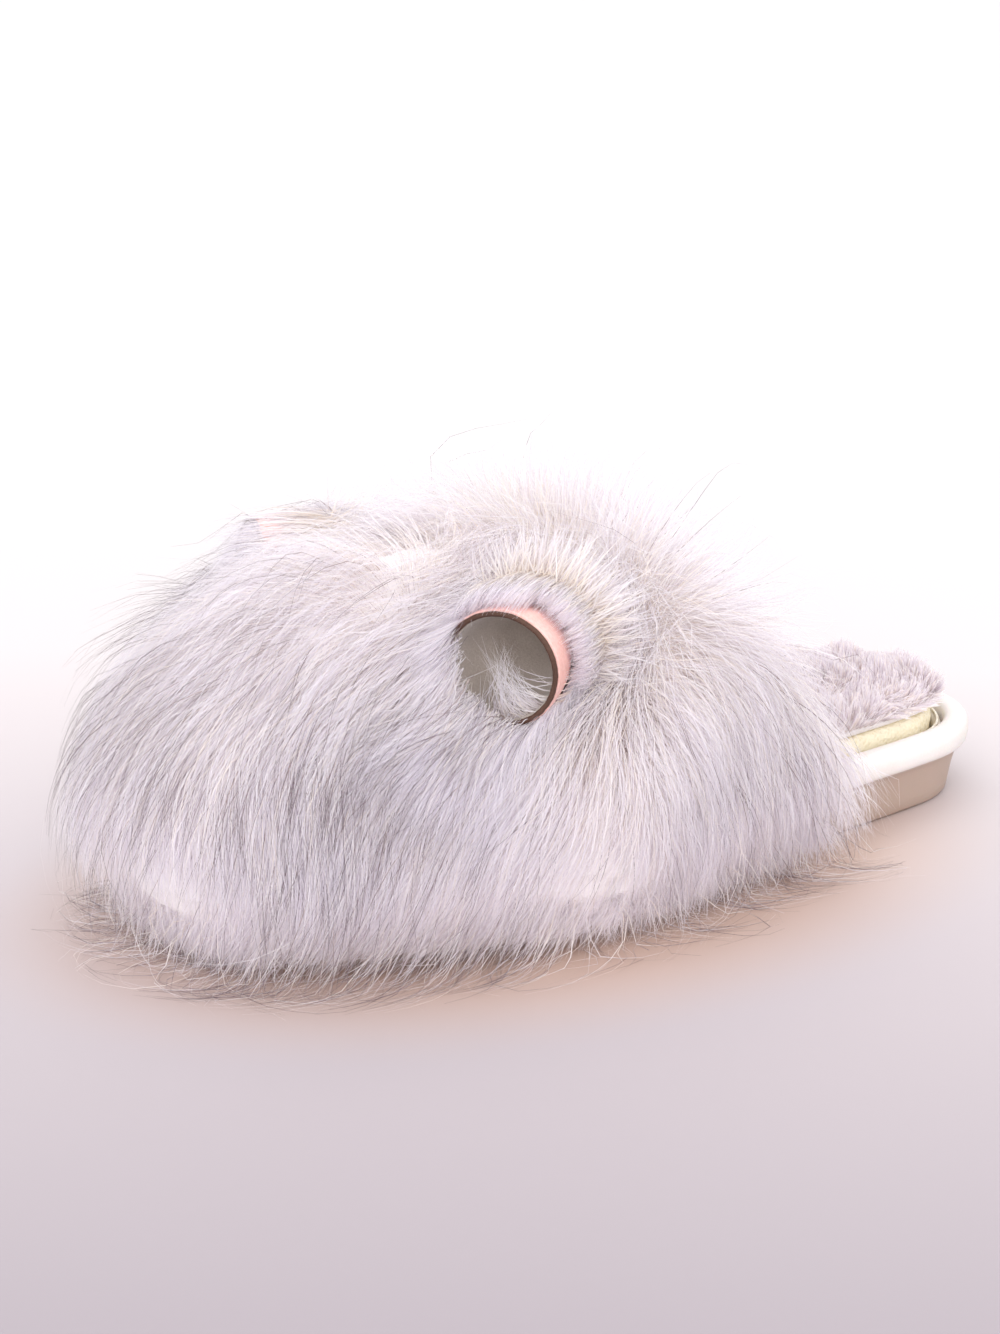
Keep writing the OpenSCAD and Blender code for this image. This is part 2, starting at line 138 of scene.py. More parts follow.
@dataclass(frozen=True)
class Finish:
    """A solid material whose colour, roughness and relief come from one small pattern.

    pitch is the pattern's real size in mm, stretch divides it along each axis, relief is its height in mm,
    and low is a tint of painted shade that the surface takes near the ground, below about 13 mm.
    """

    name: str
    base: str
    deep: str
    grain: Grain
    pitch: float
    relief: float
    roughness: float
    sheen: float = 0.0
    subsurface: float = 0.0
    stretch: tuple[float, float, float] = (1.0, 1.0, 1.0)
    blotch: float = 22.0
    low: str = ""

    def pattern(self, tree: bpy.types.NodeTree, place: bpy.types.NodeSocket) -> bpy.types.NodeSocket:
        """Builds the small pattern.

        Args:
            tree: The material's node tree.
            place: The Object coordinates, centred and stretched.

        Returns:
            A value from 0 in the pattern's hollows to 1 on its crests.
        """
        scale = 1 / (self.pitch * MM)
        if self.grain in (Grain.CELLS, Grain.PEBBLE):
            feature = "F1" if self.grain is Grain.CELLS else "SMOOTH_F1"
            return add_node(tree, "TexVoronoi", {"feature": feature},
                            {"Vector": place, "Scale": scale, "Randomness": 0.9}).outputs["Distance"]
        if self.grain is Grain.RIBS:
            return add_node(tree, "TexWave", {"bands_direction": "DIAGONAL"},
                            {"Vector": place, "Scale": scale / 6.3, "Distortion": 1.6, "Detail": 2.0,
                             "Detail Scale": 2.0}).outputs["Fac"]
        return add_node(tree, "TexNoise", {}, {"Vector": place, "Scale": scale, "Detail": 3.0,
                                               "Roughness": 0.6}).outputs["Fac"]

    def material(self) -> bpy.types.Material:
        """Builds the material."""
        made = bpy.data.materials.new(self.name)
        made.use_nodes = True
        tree = made.node_tree
        shader = tree.nodes["Principled BSDF"]
        coords = add_node(tree, "TexCoord").outputs["Object"]
        place = add_node(tree, "Mapping", {}, {"Vector": coords, "Scale": self.stretch}).outputs["Vector"]
        small = self.pattern(tree, place)
        wide = add_node(tree, "TexNoise", {}, {"Vector": coords, "Scale": 1 / (self.blotch * MM),
                                               "Detail": 2.0}).outputs["Fac"]
        both = add_node(tree, "Math", {"operation": "MULTIPLY_ADD"}, {0: small, 1: 0.6, 2: wide}).outputs[0]
        colour = set_ramp(add_node(tree, "ValToRGB", {}, {"Fac": both}),
                          ((0.42, self.deep), (0.86, self.base)))
        # Painted shade: up to about 13 mm high the colour goes over to the low tint, darkening the wall under
        # the lip
        if self.low:
            height = add_node(tree, "SeparateXYZ", {}, {"Vector": coords}).outputs["Z"]
            share = add_node(tree, "MapRange", {}, {"Value": height, "From Min": 0.0128, "From Max": 0.0148,
                                                    "To Min": 1.0, "To Max": 0.0}).outputs["Result"]
            colour = add_node(tree, "Mix", {"data_type": "RGBA"},
                              {0: share, 6: colour, 7: linear(self.low)}).outputs[2]
        rough = add_node(tree, "MapRange", {}, {"Value": both, "From Min": 0.3, "From Max": 1.1,
                                                "To Min": min(1.0, self.roughness + 0.08),
                                                "To Max": self.roughness - 0.06}).outputs["Result"]
        bump = add_node(tree, "Bump", {}, {"Height": small, "Distance": self.relief * MM, "Strength": 1.0})
        tree.links.new(colour, shader.inputs["Base Color"])
        tree.links.new(rough, shader.inputs["Roughness"])
        tree.links.new(bump.outputs["Normal"], shader.inputs["Normal"])
        shader.inputs["Specular IOR Level"].default_value = 0.35
        shader.inputs["Sheen Weight"].default_value = self.sheen
        shader.inputs["Sheen Roughness"].default_value = 0.45
        if self.subsurface:
            shader.inputs["Subsurface Weight"].default_value = self.subsurface
            shader.inputs["Subsurface Scale"].default_value = 2.0 * MM
        return made


@dataclass(frozen=True)
class Fibre:
    """Modacrylic pile: colour runs from a strand's root to its tip, and each strand has its own tone."""

    name: str
    stops: tuple[tuple[float, str], ...]
    tones: tuple[tuple[float, str], ...]
    through: float = 0.55
    roughness: float = 0.5

    def material(self) -> bpy.types.Material:
        """Builds the material."""
        made = bpy.data.materials.new(self.name)
        made.use_nodes = True
        tree = made.node_tree
        shader = tree.nodes["Principled BSDF"]
        uv = add_node(tree, "UVMap", {"uv_map": STRAND_UV}).outputs["UV"]
        split = add_node(tree, "SeparateXYZ", {}, {"Vector": uv})
        along = set_ramp(add_node(tree, "ValToRGB", {}, {"Fac": split.outputs["Y"]}), self.stops)
        tone = set_ramp(add_node(tree, "ValToRGB", {}, {"Fac": split.outputs["X"]}), self.tones)
        colour = add_node(tree, "Mix", {"data_type": "RGBA", "blend_type": "MULTIPLY"},
                          {0: 1.0, 6: along, 7: tone}).outputs[2]
        tree.links.new(colour, shader.inputs["Base Color"])
        shader.inputs["Roughness"].default_value = self.roughness
        shader.inputs["Specular IOR Level"].default_value = 0.3
        glow = add_node(tree, "BsdfTranslucent", {}, {"Color": colour})
        mixed = add_node(tree, "MixShader", {}, {0: self.through, 1: shader.outputs[0], 2: glow.outputs[0]})
        tree.links.new(mixed.outputs[0], tree.nodes["Material Output"].inputs["Surface"])
        return made


# Moulded EVA foam: matt cream with a fine closed skin; its wall below the lip is painted darker and warmer,
# as painted shade with a painted warm glow from the table
EVA = Finish("moulded_eva_foam", "#e6e1de", "#dcd6d1", Grain.SPECKLE, 0.7, 0.05, 0.52,
             subsurface=0.12, low="#b09c8f")
# Pressed cellulose board: grey-brown, flecked
BOARD = Finish("pressed_fibre_board", "#c9b89c", "#a8957a", Grain.SPECKLE, 1.1, 0.06, 0.85,
               stretch=(1.0, 0.35, 1.0))
# Slabstock polyurethane: pale yellow, open cells
CUSHION = Finish("open_cell_polyurethane", "#f0e8cf", "#dccfa8", Grain.CELLS, 1.3, 0.35, 0.9)
# Knitted ground of the plush: white and matt
PLUSH_GROUND = Finish("plush_knit_ground", "#eee9ea", "#d9d1d2", Grain.SPECKLE, 2.6, 0.8, 0.9, sheen=0.4)
# Polyurethane-coated tape: creamy, a little glossier than the sole
PIPING = Finish("coated_piping_tape", "#d8d1c6", "#c8bfb0", Grain.RIBS, 1.2, 0.12, 0.42)
# Spun polyester thread: twisted, slightly shiny
THREAD = Finish("spun_polyester_thread", "#f6f2e6", "#ddd5c0", Grain.RIBS, 0.5, 0.08, 0.4)
# Brushed polyester fleece lining
FLEECE = Finish("brushed_fleece_lining", "#ece4e2", "#cdbfbb", Grain.SPECKLE, 1.8, 0.6, 0.92, sheen=0.5)
# Foam laminated to tricot, inside the upper
LAMINATE = Finish("foam_laminate", "#f3ecd8", "#dfd3b4", Grain.CELLS, 0.9, 0.2, 0.9)
# Knitted collar binding: fine diagonal ribs
KNIT = Finish("knitted_collar_binding", "#f0e9e6", "#cfc4c0", Grain.RIBS, 0.9, 0.25, 0.8, sheen=0.3)
# Dense short underwool that the long pile stands in
UNDERWOOL = Finish("modacrylic_underwool", "#f8f5f5", "#ebe5e2", Grain.SPECKLE, 2.2, 1.2, 0.85, sheen=0.4,
                   stretch=(1.0, 0.25, 0.5), blotch=30.0)
# Polyurethane leatherette, embossed pebble, dusty pink
LEATHERETTE = Finish("embossed_pink_leatherette", "#efc2ba", "#e0aca2", Grain.PEBBLE, 0.8, 0.05, 0.5,
                     subsurface=0.08)
# Needled felt backing: greige and hairy, its colour darkened beyond its own as painted shade inside the
# rolled ear
FELT = Finish("needled_felt", "#b9aea5", "#94887e", Grain.SPECKLE, 0.5, 0.2, 0.95, sheen=0.4)
# Knife-cut edge where the backing shows dark
CUT_EDGE = Finish("burnished_cut_edge", "#563c30", "#38261f", Grain.SPECKLE, 0.8, 0.12, 0.7)

WHITE_TONES = ((0.0, "#e9e4ea"), (0.35, "#f8f6f9"), (0.7, "#ffffff"), (1.0, "#fff9f0"))
# The long pile's root end is painted warm beige, as painted shade deep in the pile
PILE = Fibre("modacrylic_long_pile",
             ((0.0, "#f0e8df"), (0.35, "#f8f5f3"), (0.7, "#fbfafd"), (1.0, "#fbfaff")), WHITE_TONES)
GUARD = Fibre("tipped_guard_hair", ((0.0, "#efe9e8"), (0.35, "#dcd5d8"), (0.58, "#8d8187"), (1.0, "#50464d")),
              ((0.0, "#c9c0c4"), (0.5, "#ffffff"), (1.0, "#efe2d6")), through=0.15, roughness=0.4)
# The plush pile is painted darker at its root, as painted shade deep in the pile
PLUSH = Fibre("sheared_plush_pile", ((0.0, "#e0d8d7"), (0.5, "#f1ecee"), (1.0, "#f9f6f9")), WHITE_TONES)


# ---------------------------------------------------------------- mesh helpers


def mesh_arrays(name: str) -> tuple[Array, Array]:
    """Reads a CAD node's mesh.

    Args:
        name: The node.

    Returns:
        Its vertices in mm and its triangles.
    """
    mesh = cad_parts[name].data
    places = np.empty(len(mesh.vertices) * 3)
    mesh.vertices.foreach_get("co", places)
    mesh.calc_loop_triangles()
    faces = np.empty(len(mesh.loop_triangles) * 3, dtype=np.int64)
    mesh.loop_triangles.foreach_get("vertices", faces)
    return places.reshape(-1, 3) / MM, faces.reshape(-1, 3)


def merged_copy(name: str) -> bmesh.types.BMesh:
    """Copies a CAD node's mesh and joins its loose triangles.

    Args:
        name: The node.

    Returns:
        A new bmesh, in metres.
    """
    bm = bmesh.new()
    bm.from_mesh(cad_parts[name].data)
    bmesh.ops.remove_doubles(bm, verts=bm.verts, dist=0.004 * MM)
    return bm


def finish_mesh(bm: bmesh.types.BMesh, name: str, material: bpy.types.Material, smooth: bool = True,
                outward: bool = True) -> bpy.types.Object:
    """Makes a linked object from a bmesh, at the origin.

    Args:
        bm: The mesh, in metres. It is freed.
        name: The object's name.
        material: Its material.
        smooth: Whether its faces are shaded smooth.
        outward: Whether its normals are recalculated to point outwards.

    Returns:
        The object.
    """
    if outward:
        bmesh.ops.recalc_face_normals(bm, faces=bm.faces)
    mesh = bpy.data.meshes.new(name)
    bm.to_mesh(mesh)
    bm.free()
    mesh.materials.append(material)
    if smooth:
        mesh.shade_smooth()
    made = bpy.data.objects.new(name, mesh)
    bpy.context.scene.collection.objects.link(made)
    return made


def settle(piece: bpy.types.Object, body: str, stands_for: Sequence[str] = ()) -> bpy.types.Object:
    """Rides a finished piece on its body and reports it.

    Args:
        piece: The piece.
        body: The CAD body it moves with.
        stands_for: CAD nodes that it replaces.

    Returns:
        The same piece.
    """
    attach(piece, body)
    if stands_for:
        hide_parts(*stands_for)
    LOG.info("%s: %d faces on %s", piece.name, len(piece.data.polygons), body)
    return piece


def contour(name: str, height: float, count: int, widest: bool = True) -> Array:
    """Cuts a node level and returns one of the cut's closed lines, evenly spaced.

    Args:
        name: The CAD node.
        height: Where it is cut, in mm.
        count: How many points the line gets.
        widest: Whether the outermost line is wanted, or the innermost.

    Returns:
        Points (count, 2) in mm, counter-clockwise from the heel.
    """
    bm = merged_copy(name)
    bmesh.ops.bisect_plane(bm, geom=bm.verts[:] + bm.edges[:] + bm.faces[:], dist=1e-7,
                           plane_co=(0, 0, height * MM), plane_no=(0, 0, 1),
                           clear_inner=True, clear_outer=True)
    left = set(bm.verts)
    lines = []
    while left:
        vert = left.pop()
        line = [vert]
        while True:
            after = [e.other_vert(line[-1]) for e in line[-1].link_edges if e.other_vert(line[-1]) in left]
            if not after:
                break
            left.discard(after[0])
            line.append(after[0])
        lines.append(np.array([v.co[:2] for v in line]) / MM)
    bm.free()
    lines = sorted((line for line in lines if len(line) > 8), key=lambda line: np.ptp(line[:, 1]))
    line = lines[-1] if widest else lines[0]
    following = np.roll(line, -1, axis=0)
    if np.sum(line[:, 0] * following[:, 1] - following[:, 0] * line[:, 1]) < 0:
        line = line[::-1]
    line = np.roll(line, -int(np.argmax(line[:, 1])), axis=0)
    ring = np.vstack([line, line[:1]])
    run = np.concatenate([[0], np.cumsum(np.linalg.norm(np.diff(ring, axis=0), axis=1))])
    wanted = np.linspace(0, run[-1], count, endpoint=False)
    return np.stack([np.interp(wanted, run, ring[:, i]) for i in (0, 1)], axis=1)


def inward(line: Array) -> Array:
    """Returns the unit vectors that point into a counter-clockwise closed line."""
    along = np.roll(line, -2, axis=0) - np.roll(line, 2, axis=0)
    along /= np.linalg.norm(along, axis=1, keepdims=True)
    return np.stack([-along[:, 1], along[:, 0]], axis=1)


def loft(line: Array, profile: Sequence[tuple[float, float]], closed: bool = False,
         sway: Callable[[Array, int], Array] | None = None) -> bmesh.types.BMesh:
    """Extrudes a ring of edges from step to step of a profile, round a closed line.

    Args:
        line: The closed line, in mm.
        profile: How far in from the line and how high each ring is, in mm.
        closed: Whether the last ring joins the first. Otherwise both ends get a face.
        sway: A function of the ring's points and its number that moves them a little.

    Returns:
        The lofted bmesh, in metres.
    """
    bm = bmesh.new()
    station = bm.verts.layers.int.new("station")
    bmesh.ops.create_circle(bm, cap_ends=False, segments=len(line), radius=1.0)
    for i, vert in enumerate(bm.verts):
        vert[station] = i
    into = inward(line)
    rings = []
    edges = bm.edges[:]
    verts = bm.verts[:]
    for number, (inset, height) in enumerate(profile):
        if number:
            grown = bmesh.ops.extrude_edge_only(bm, edges=edges)["geom"]
            verts = [g for g in grown if isinstance(g, bmesh.types.BMVert)]
            fresh = set(verts)
            edges = [g for g in grown if isinstance(g, bmesh.types.BMEdge) and set(g.verts) <= fresh]
        flat = line + into * inset
        places = np.column_stack([flat, np.full(len(line), height)])
        if sway:
            places = sway(places, number)
        for vert in verts:
            vert.co = places[vert[station]] * MM
        rings.append(edges)
    if closed:
        bmesh.ops.bridge_loops(bm, edges=rings[0] + rings[-1])
    else:
        bmesh.ops.contextual_create(bm, geom=rings[0])
        bmesh.ops.contextual_create(bm, geom=rings[-1])
    return bm


def waves(points: Array, lengths: Sequence[float], seed: int) -> Array:
    """Smooth noise from a few sine waves, the same each run.

    Args:
        points: Places (n, 3) in mm.
        lengths: The wavelengths in mm.
        seed: Seed for directions and phases.

    Returns:
        Vectors (n, 3) of about unit size.
    """
    rng = np.random.default_rng(seed)
    total = np.zeros((len(points), 3))
    for length in lengths:
        for _ in range(3):
            way = rng.normal(size=3)
            way /= np.linalg.norm(way)
            push = rng.normal(size=3)
            total += np.sin(points @ way[:, None] * (2 * math.pi / length) + rng.uniform(0, 6.28)) * push
    return total / math.sqrt(3 * len(lengths))


def shaped_copy(node: str, name: str, material: bpy.types.Material, cuts: int,
                shape: Callable[[Array, Array], Array]) -> bpy.types.Object:
    """Makes a soft piece from a merged copy of its CAD solid, made finer and then moved point by point.

    Args:
        node: The CAD node.
        name: The piece's name.
        material: Its material.
        cuts: How many cuts each edge gets.
        shape: A function of places and normals, in mm, that gives the new places.

    Returns:
        The piece.
    """
    bm = merged_copy(node)
    if cuts:
        bmesh.ops.subdivide_edges(bm, edges=bm.edges, cuts=cuts, use_grid_fill=True)
    bm.normal_update()
    places = np.array([v.co for v in bm.verts]) / MM
    normals = np.array([v.normal for v in bm.verts])
    for vert, place in zip(bm.verts, shape(places, normals)):
        vert.co = place * MM
    return finish_mesh(bm, name, material, outward=False)


def parting(z: Array) -> Array:
    """Where the pile parts, along the slipper in mm: at the seam on the sides, further back on the crown."""
    return SEAM_Y + 30 * smoothstep((z - 58) / 24)


def collar_edge(points: Array) -> Array:
    """How near places are to the collar's edge, from 0 to 1."""
    return smoothstep((points[:, 1] + 0.84 * (points[:, 2] - 80) + 34) / 24)


def smoothstep(value: Array) -> Array:
    """Eases 0..1 in and out, clamped."""
    value = np.clip(value, 0, 1)
    return value * value * (3 - 2 * value)


def unit(vectors: Array) -> Array:
    """Scales vectors to unit length."""
    return vectors / np.maximum(np.linalg.norm(vectors, axis=-1, keepdims=True), 1e-9)


# ---------------------------------------------------------------- the space the pile fills


@dataclass
class Grid:
    """Values on an even grid of points, read between them in straight lines."""

    low: Array
    step: float
    values: Array

    def at(self, points: Array) -> Array:
        """Reads the values at places in mm."""
        shape = np.array(self.values.shape[:3])
        spot = np.clip((points - self.low) / self.step, 0, shape - 1.001)
        cell = spot.astype(int)
        part = spot - cell
        total = 0.0
        for corner in range(8):
            bits = np.array([(corner >> i) & 1 for i in range(3)])
            weight = np.prod(np.where(bits, part, 1 - part), axis=1)
            i, j, k = (cell + bits).T
            total = total + self.values[i, j, k] * weight[:, None]
        return total


def tree_of(parts: Sequence[tuple[Array, Array]]) -> BVHTree:
    """Joins triangle sets into one search tree."""
    places = np.vstack([p for p, _ in parts])
    shift = np.cumsum([0] + [len(p) for p, _ in parts[:-1]])
    faces = np.vstack([f + s for (_, f), s in zip(parts, shift)])
    return BVHTree.FromPolygons(places.tolist(), faces.tolist())


def signed(tree: BVHTree, points: Array) -> Array:
    """Distances to a surface, negative behind its faces."""
    found = np.empty(len(points))
    for i, point in enumerate(points):
        near, normal, _, distance = tree.find_nearest(Vector(point))
        found[i] = math.copysign(distance, (Vector(point) - near).dot(normal))
    return found


def scatter(corners: Array, weight: Array, count: int, rng: np.random.Generator) -> tuple[Array, Array]:
    """Scatters places over triangles.

    Args:
        corners: The triangles' corners (n, 3, 3) in mm.
        weight: How much of the whole each triangle gets.
        count: How many places are drawn.
        rng: The random source.

    Returns:
        The places, and the unit normals of the triangles that they lie on.
    """
    pick = rng.choice(len(weight), size=count, p=weight / weight.sum())
    u, v = rng.random(count), rng.random(count)
    flip = u + v > 1
    u[flip], v[flip] = 1 - u[flip], 1 - v[flip]
    tri = corners[pick]
    places = tri[:, 0] + u[:, None] * (tri[:, 1] - tri[:, 0]) + v[:, None] * (tri[:, 2] - tri[:, 0])
    return places, unit(np.cross(tri[:, 1] - tri[:, 0], tri[:, 2] - tri[:, 0]))


@dataclass
class EarForm:
    """Where a rolled ear is: its mouth's middle, the way it points, its radius and its length, in mm.

    nose is how far from its root the ear rounds off.
    """

    side: str
    mouth: Array = field(init=False)
    axis: Array = field(init=False)
    radius: float = field(init=False)
    length: float = field(init=False)
    nose: float = 9.0

    def __post_init__(self) -> None:
        """Measures the ear's CAD nodes."""
        rim, _ = mesh_arrays(f"ear_{self.side}_edge")
        cup, _ = mesh_arrays(f"ear_{self.side}_shell")
        self.mouth = rim.mean(axis=0)
        self.axis = np.linalg.svd(rim - self.mouth, full_matrices=False)[2][2]
        if self.axis @ (self.mouth - cup.mean(axis=0)) < 0:
            self.axis = -self.axis
        self.radius = float(np.linalg.norm(rim - self.mouth, axis=1).mean())
        self.length = float(-np.min((cup - self.mouth) @ self.axis))

    def split(self, points: Array) -> tuple[Array, Array]:
        """Splits places into how far they are along the ear's axis from its mouth, and the rest across it."""
        rel = points - self.mouth
        along = rel @ self.axis
        return along, rel - along[:, None] * self.axis

    def girth(self, behind: Array) -> Array:
        """The ear's outer radius at distances behind its mouth."""
        rounding = np.clip(behind - self.length + self.nose, 0, self.nose) / self.nose
        return self.radius * np.sqrt(np.clip(1 - rounding ** 2, 0, 1))

    def beside(self, points: Array) -> Array:
        """How near places are to the ear's sides, from 0 to 1, so that the pile stands up round it."""
        rel = points - self.mouth
        along = np.clip(rel @ self.axis, -self.length, 0)
        gap = np.linalg.norm(rel - along[:, None] * self.axis, axis=1) - self.radius
        ahead = smoothstep((6 - rel @ self.axis) / 12)
        return (1 - smoothstep((gap - 6) / 16)) * ahead * (0.75 if self.side == "left" else 1.6)

    def crowd(self, points: Array) -> Array:
        """Draws places in the hollow round the ear up against its side."""
        along, across = self.split(points)
        far = np.linalg.norm(across, axis=1)
        start, end, gap = 20.0, 36.0, self.radius + 1.0
        drawn = gap + np.clip(far - start, 0, end - start) * (end - gap) / (end - start)
        beside = (along < 1) & (along > -self.length) & (far < end) & (far > self.radius)
        size = np.where(beside, np.minimum(far, drawn), far)
        return self.mouth + along[:, None] * self.axis + unit(across) * size[:, None]

    def towards(self, points: Array) -> Array:
        """Unit directions from places straight to the ear's axis."""
        return -unit(self.split(points)[1])

    def clear(self, points: Array, room: float = 0.5) -> Array:
        """Moves points that are inside the rolled ear out through its side.

        Args:
            points: Places (n, 3) in mm.
            room: How far outside the ear's skin they end, in mm.

        Returns:
            The moved places.
        """
        along, across = self.split(points)
        far = np.linalg.norm(across, axis=1)
        size = self.girth(-along) + room
        inside = (along < 1.5) & (along > -self.length) & (far < size)
        out = unit(across) * (size + 0.1)[:, None]
        moved = self.mouth + along[:, None] * self.axis + out
        return np.where(inside[:, None], moved, points)


@dataclass
class PileSpace:
    """The room between the upper's skin and the outside of its fur, and the way the fur lies in it."""

    step: float = 4.0
    core: BVHTree = field(init=False)
    field_: Grid = field(init=False)
    ears: list[EarForm] = field(init=False)
    roots: dict[str, tuple[Array, Array]] = field(init=False)

    def __post_init__(self) -> None:
        """Measures the CAD upper and fills the grid."""
        self.core = tree_of([mesh_arrays(name) for name in
                             ("vamp_foam", "outsole", "collar_binding", "vamp_lining")])
        self.ears = [EarForm("left"), EarForm("right")]
        outer = []
        self.roots = {}
        for panel in ("fur_toe_panel", "fur_instep_panel"):
            places, faces = mesh_arrays(panel)
            corners = places[faces]
            middle = corners.mean(axis=1)
            normal = np.cross(corners[:, 1] - corners[:, 0], corners[:, 2] - corners[:, 0])
            area = np.linalg.norm(normal, axis=1) / 2
            normal = unit(normal)
            gap = np.array([self.core.find_nearest(Vector(m))[3] for m in middle])
            at_seam = np.abs(corners[:, :, 1] - SEAM_Y).max(axis=1) < 2.5
            skin = (gap < 1.9) & ~at_seam
            shown = (gap > 1.9) & ~at_seam & (normal[:, 2] > -0.75)
            outer.append((places, faces[shown]))
            self.roots[panel] = (corners[skin], area[skin])
        shell = tree_of(outer)
        low = np.array([-92.0, -182.0, -4.0])
        counts = np.ceil((np.array([92.0, 74.0, 124.0]) - low) / self.step).astype(int) + 1
        axes = [low[i] + self.step * np.arange(counts[i]) for i in range(3)]
        points = np.stack(np.meshgrid(*axes, indexing="ij"), axis=-1).reshape(-1, 3)
        inner = np.abs(signed(self.core, points))
        outer_gap = signed(shell, points)
        share = inner / (inner + np.maximum(-outer_gap, 0.3)) + np.maximum(outer_gap, 0) / 14
        cube = share.reshape(tuple(counts))
        inner_cube = inner.reshape(tuple(counts))
        slopes = np.stack(np.gradient(cube, self.step), axis=-1)
        away = np.stack(np.gradient(inner_cube, self.step), axis=-1)
        packed = np.concatenate([cube[..., None], slopes, inner_cube[..., None], away], axis=-1)
        self.field_ = Grid(low, self.step, packed)

    def sample(self, panel: str, count: int, rng: np.random.Generator,
               keep: Callable[[Array], Array] | None = None) -> tuple[Array, Array]:
        """Scatters roots over a panel's hide.

        Args:
            panel: The CAD panel.
            count: How many roots are drawn.
            rng: The random source.
            keep: A function of places that gives the share of roots kept there.

        Returns:
            Root places and outward normals, in mm.
        """
        corners, area = self.roots[panel]
        places, inwards = scatter(corners, area, count, rng)
        normals = -inwards
        if keep:
            chosen = rng.random(count) < keep(places)
            places, normals = places[chosen], normals[chosen]
        return places, normals

    def lie(self, points: Array) -> Array:
        """The way the pile is combed at places in mm, before it is laid along the surface."""
        x, y, z = points.T
        side = np.clip(x / 38, -1, 1)
        low = np.clip(1 - (z - 12) / 62, 0, 1)
        front = smoothstep((-y - 98) / 34)
        steep = np.maximum(0.95 * low * np.abs(side), front)
        toe = np.stack([0.22 * side, -1.0 + 0.15 * low + 0.5 * front, -0.12 - steep], axis=1)
        crown = smoothstep((z - 62) / 22)
        back = np.stack([0.55 * side * (1 - crown), 0.28 + 0.75 * crown, -1.0 + 0.95 * crown], axis=1)
        share = smoothstep((y - parting(z) + 20) / 42)[:, None]
        return toe * (1 - share) + back * share


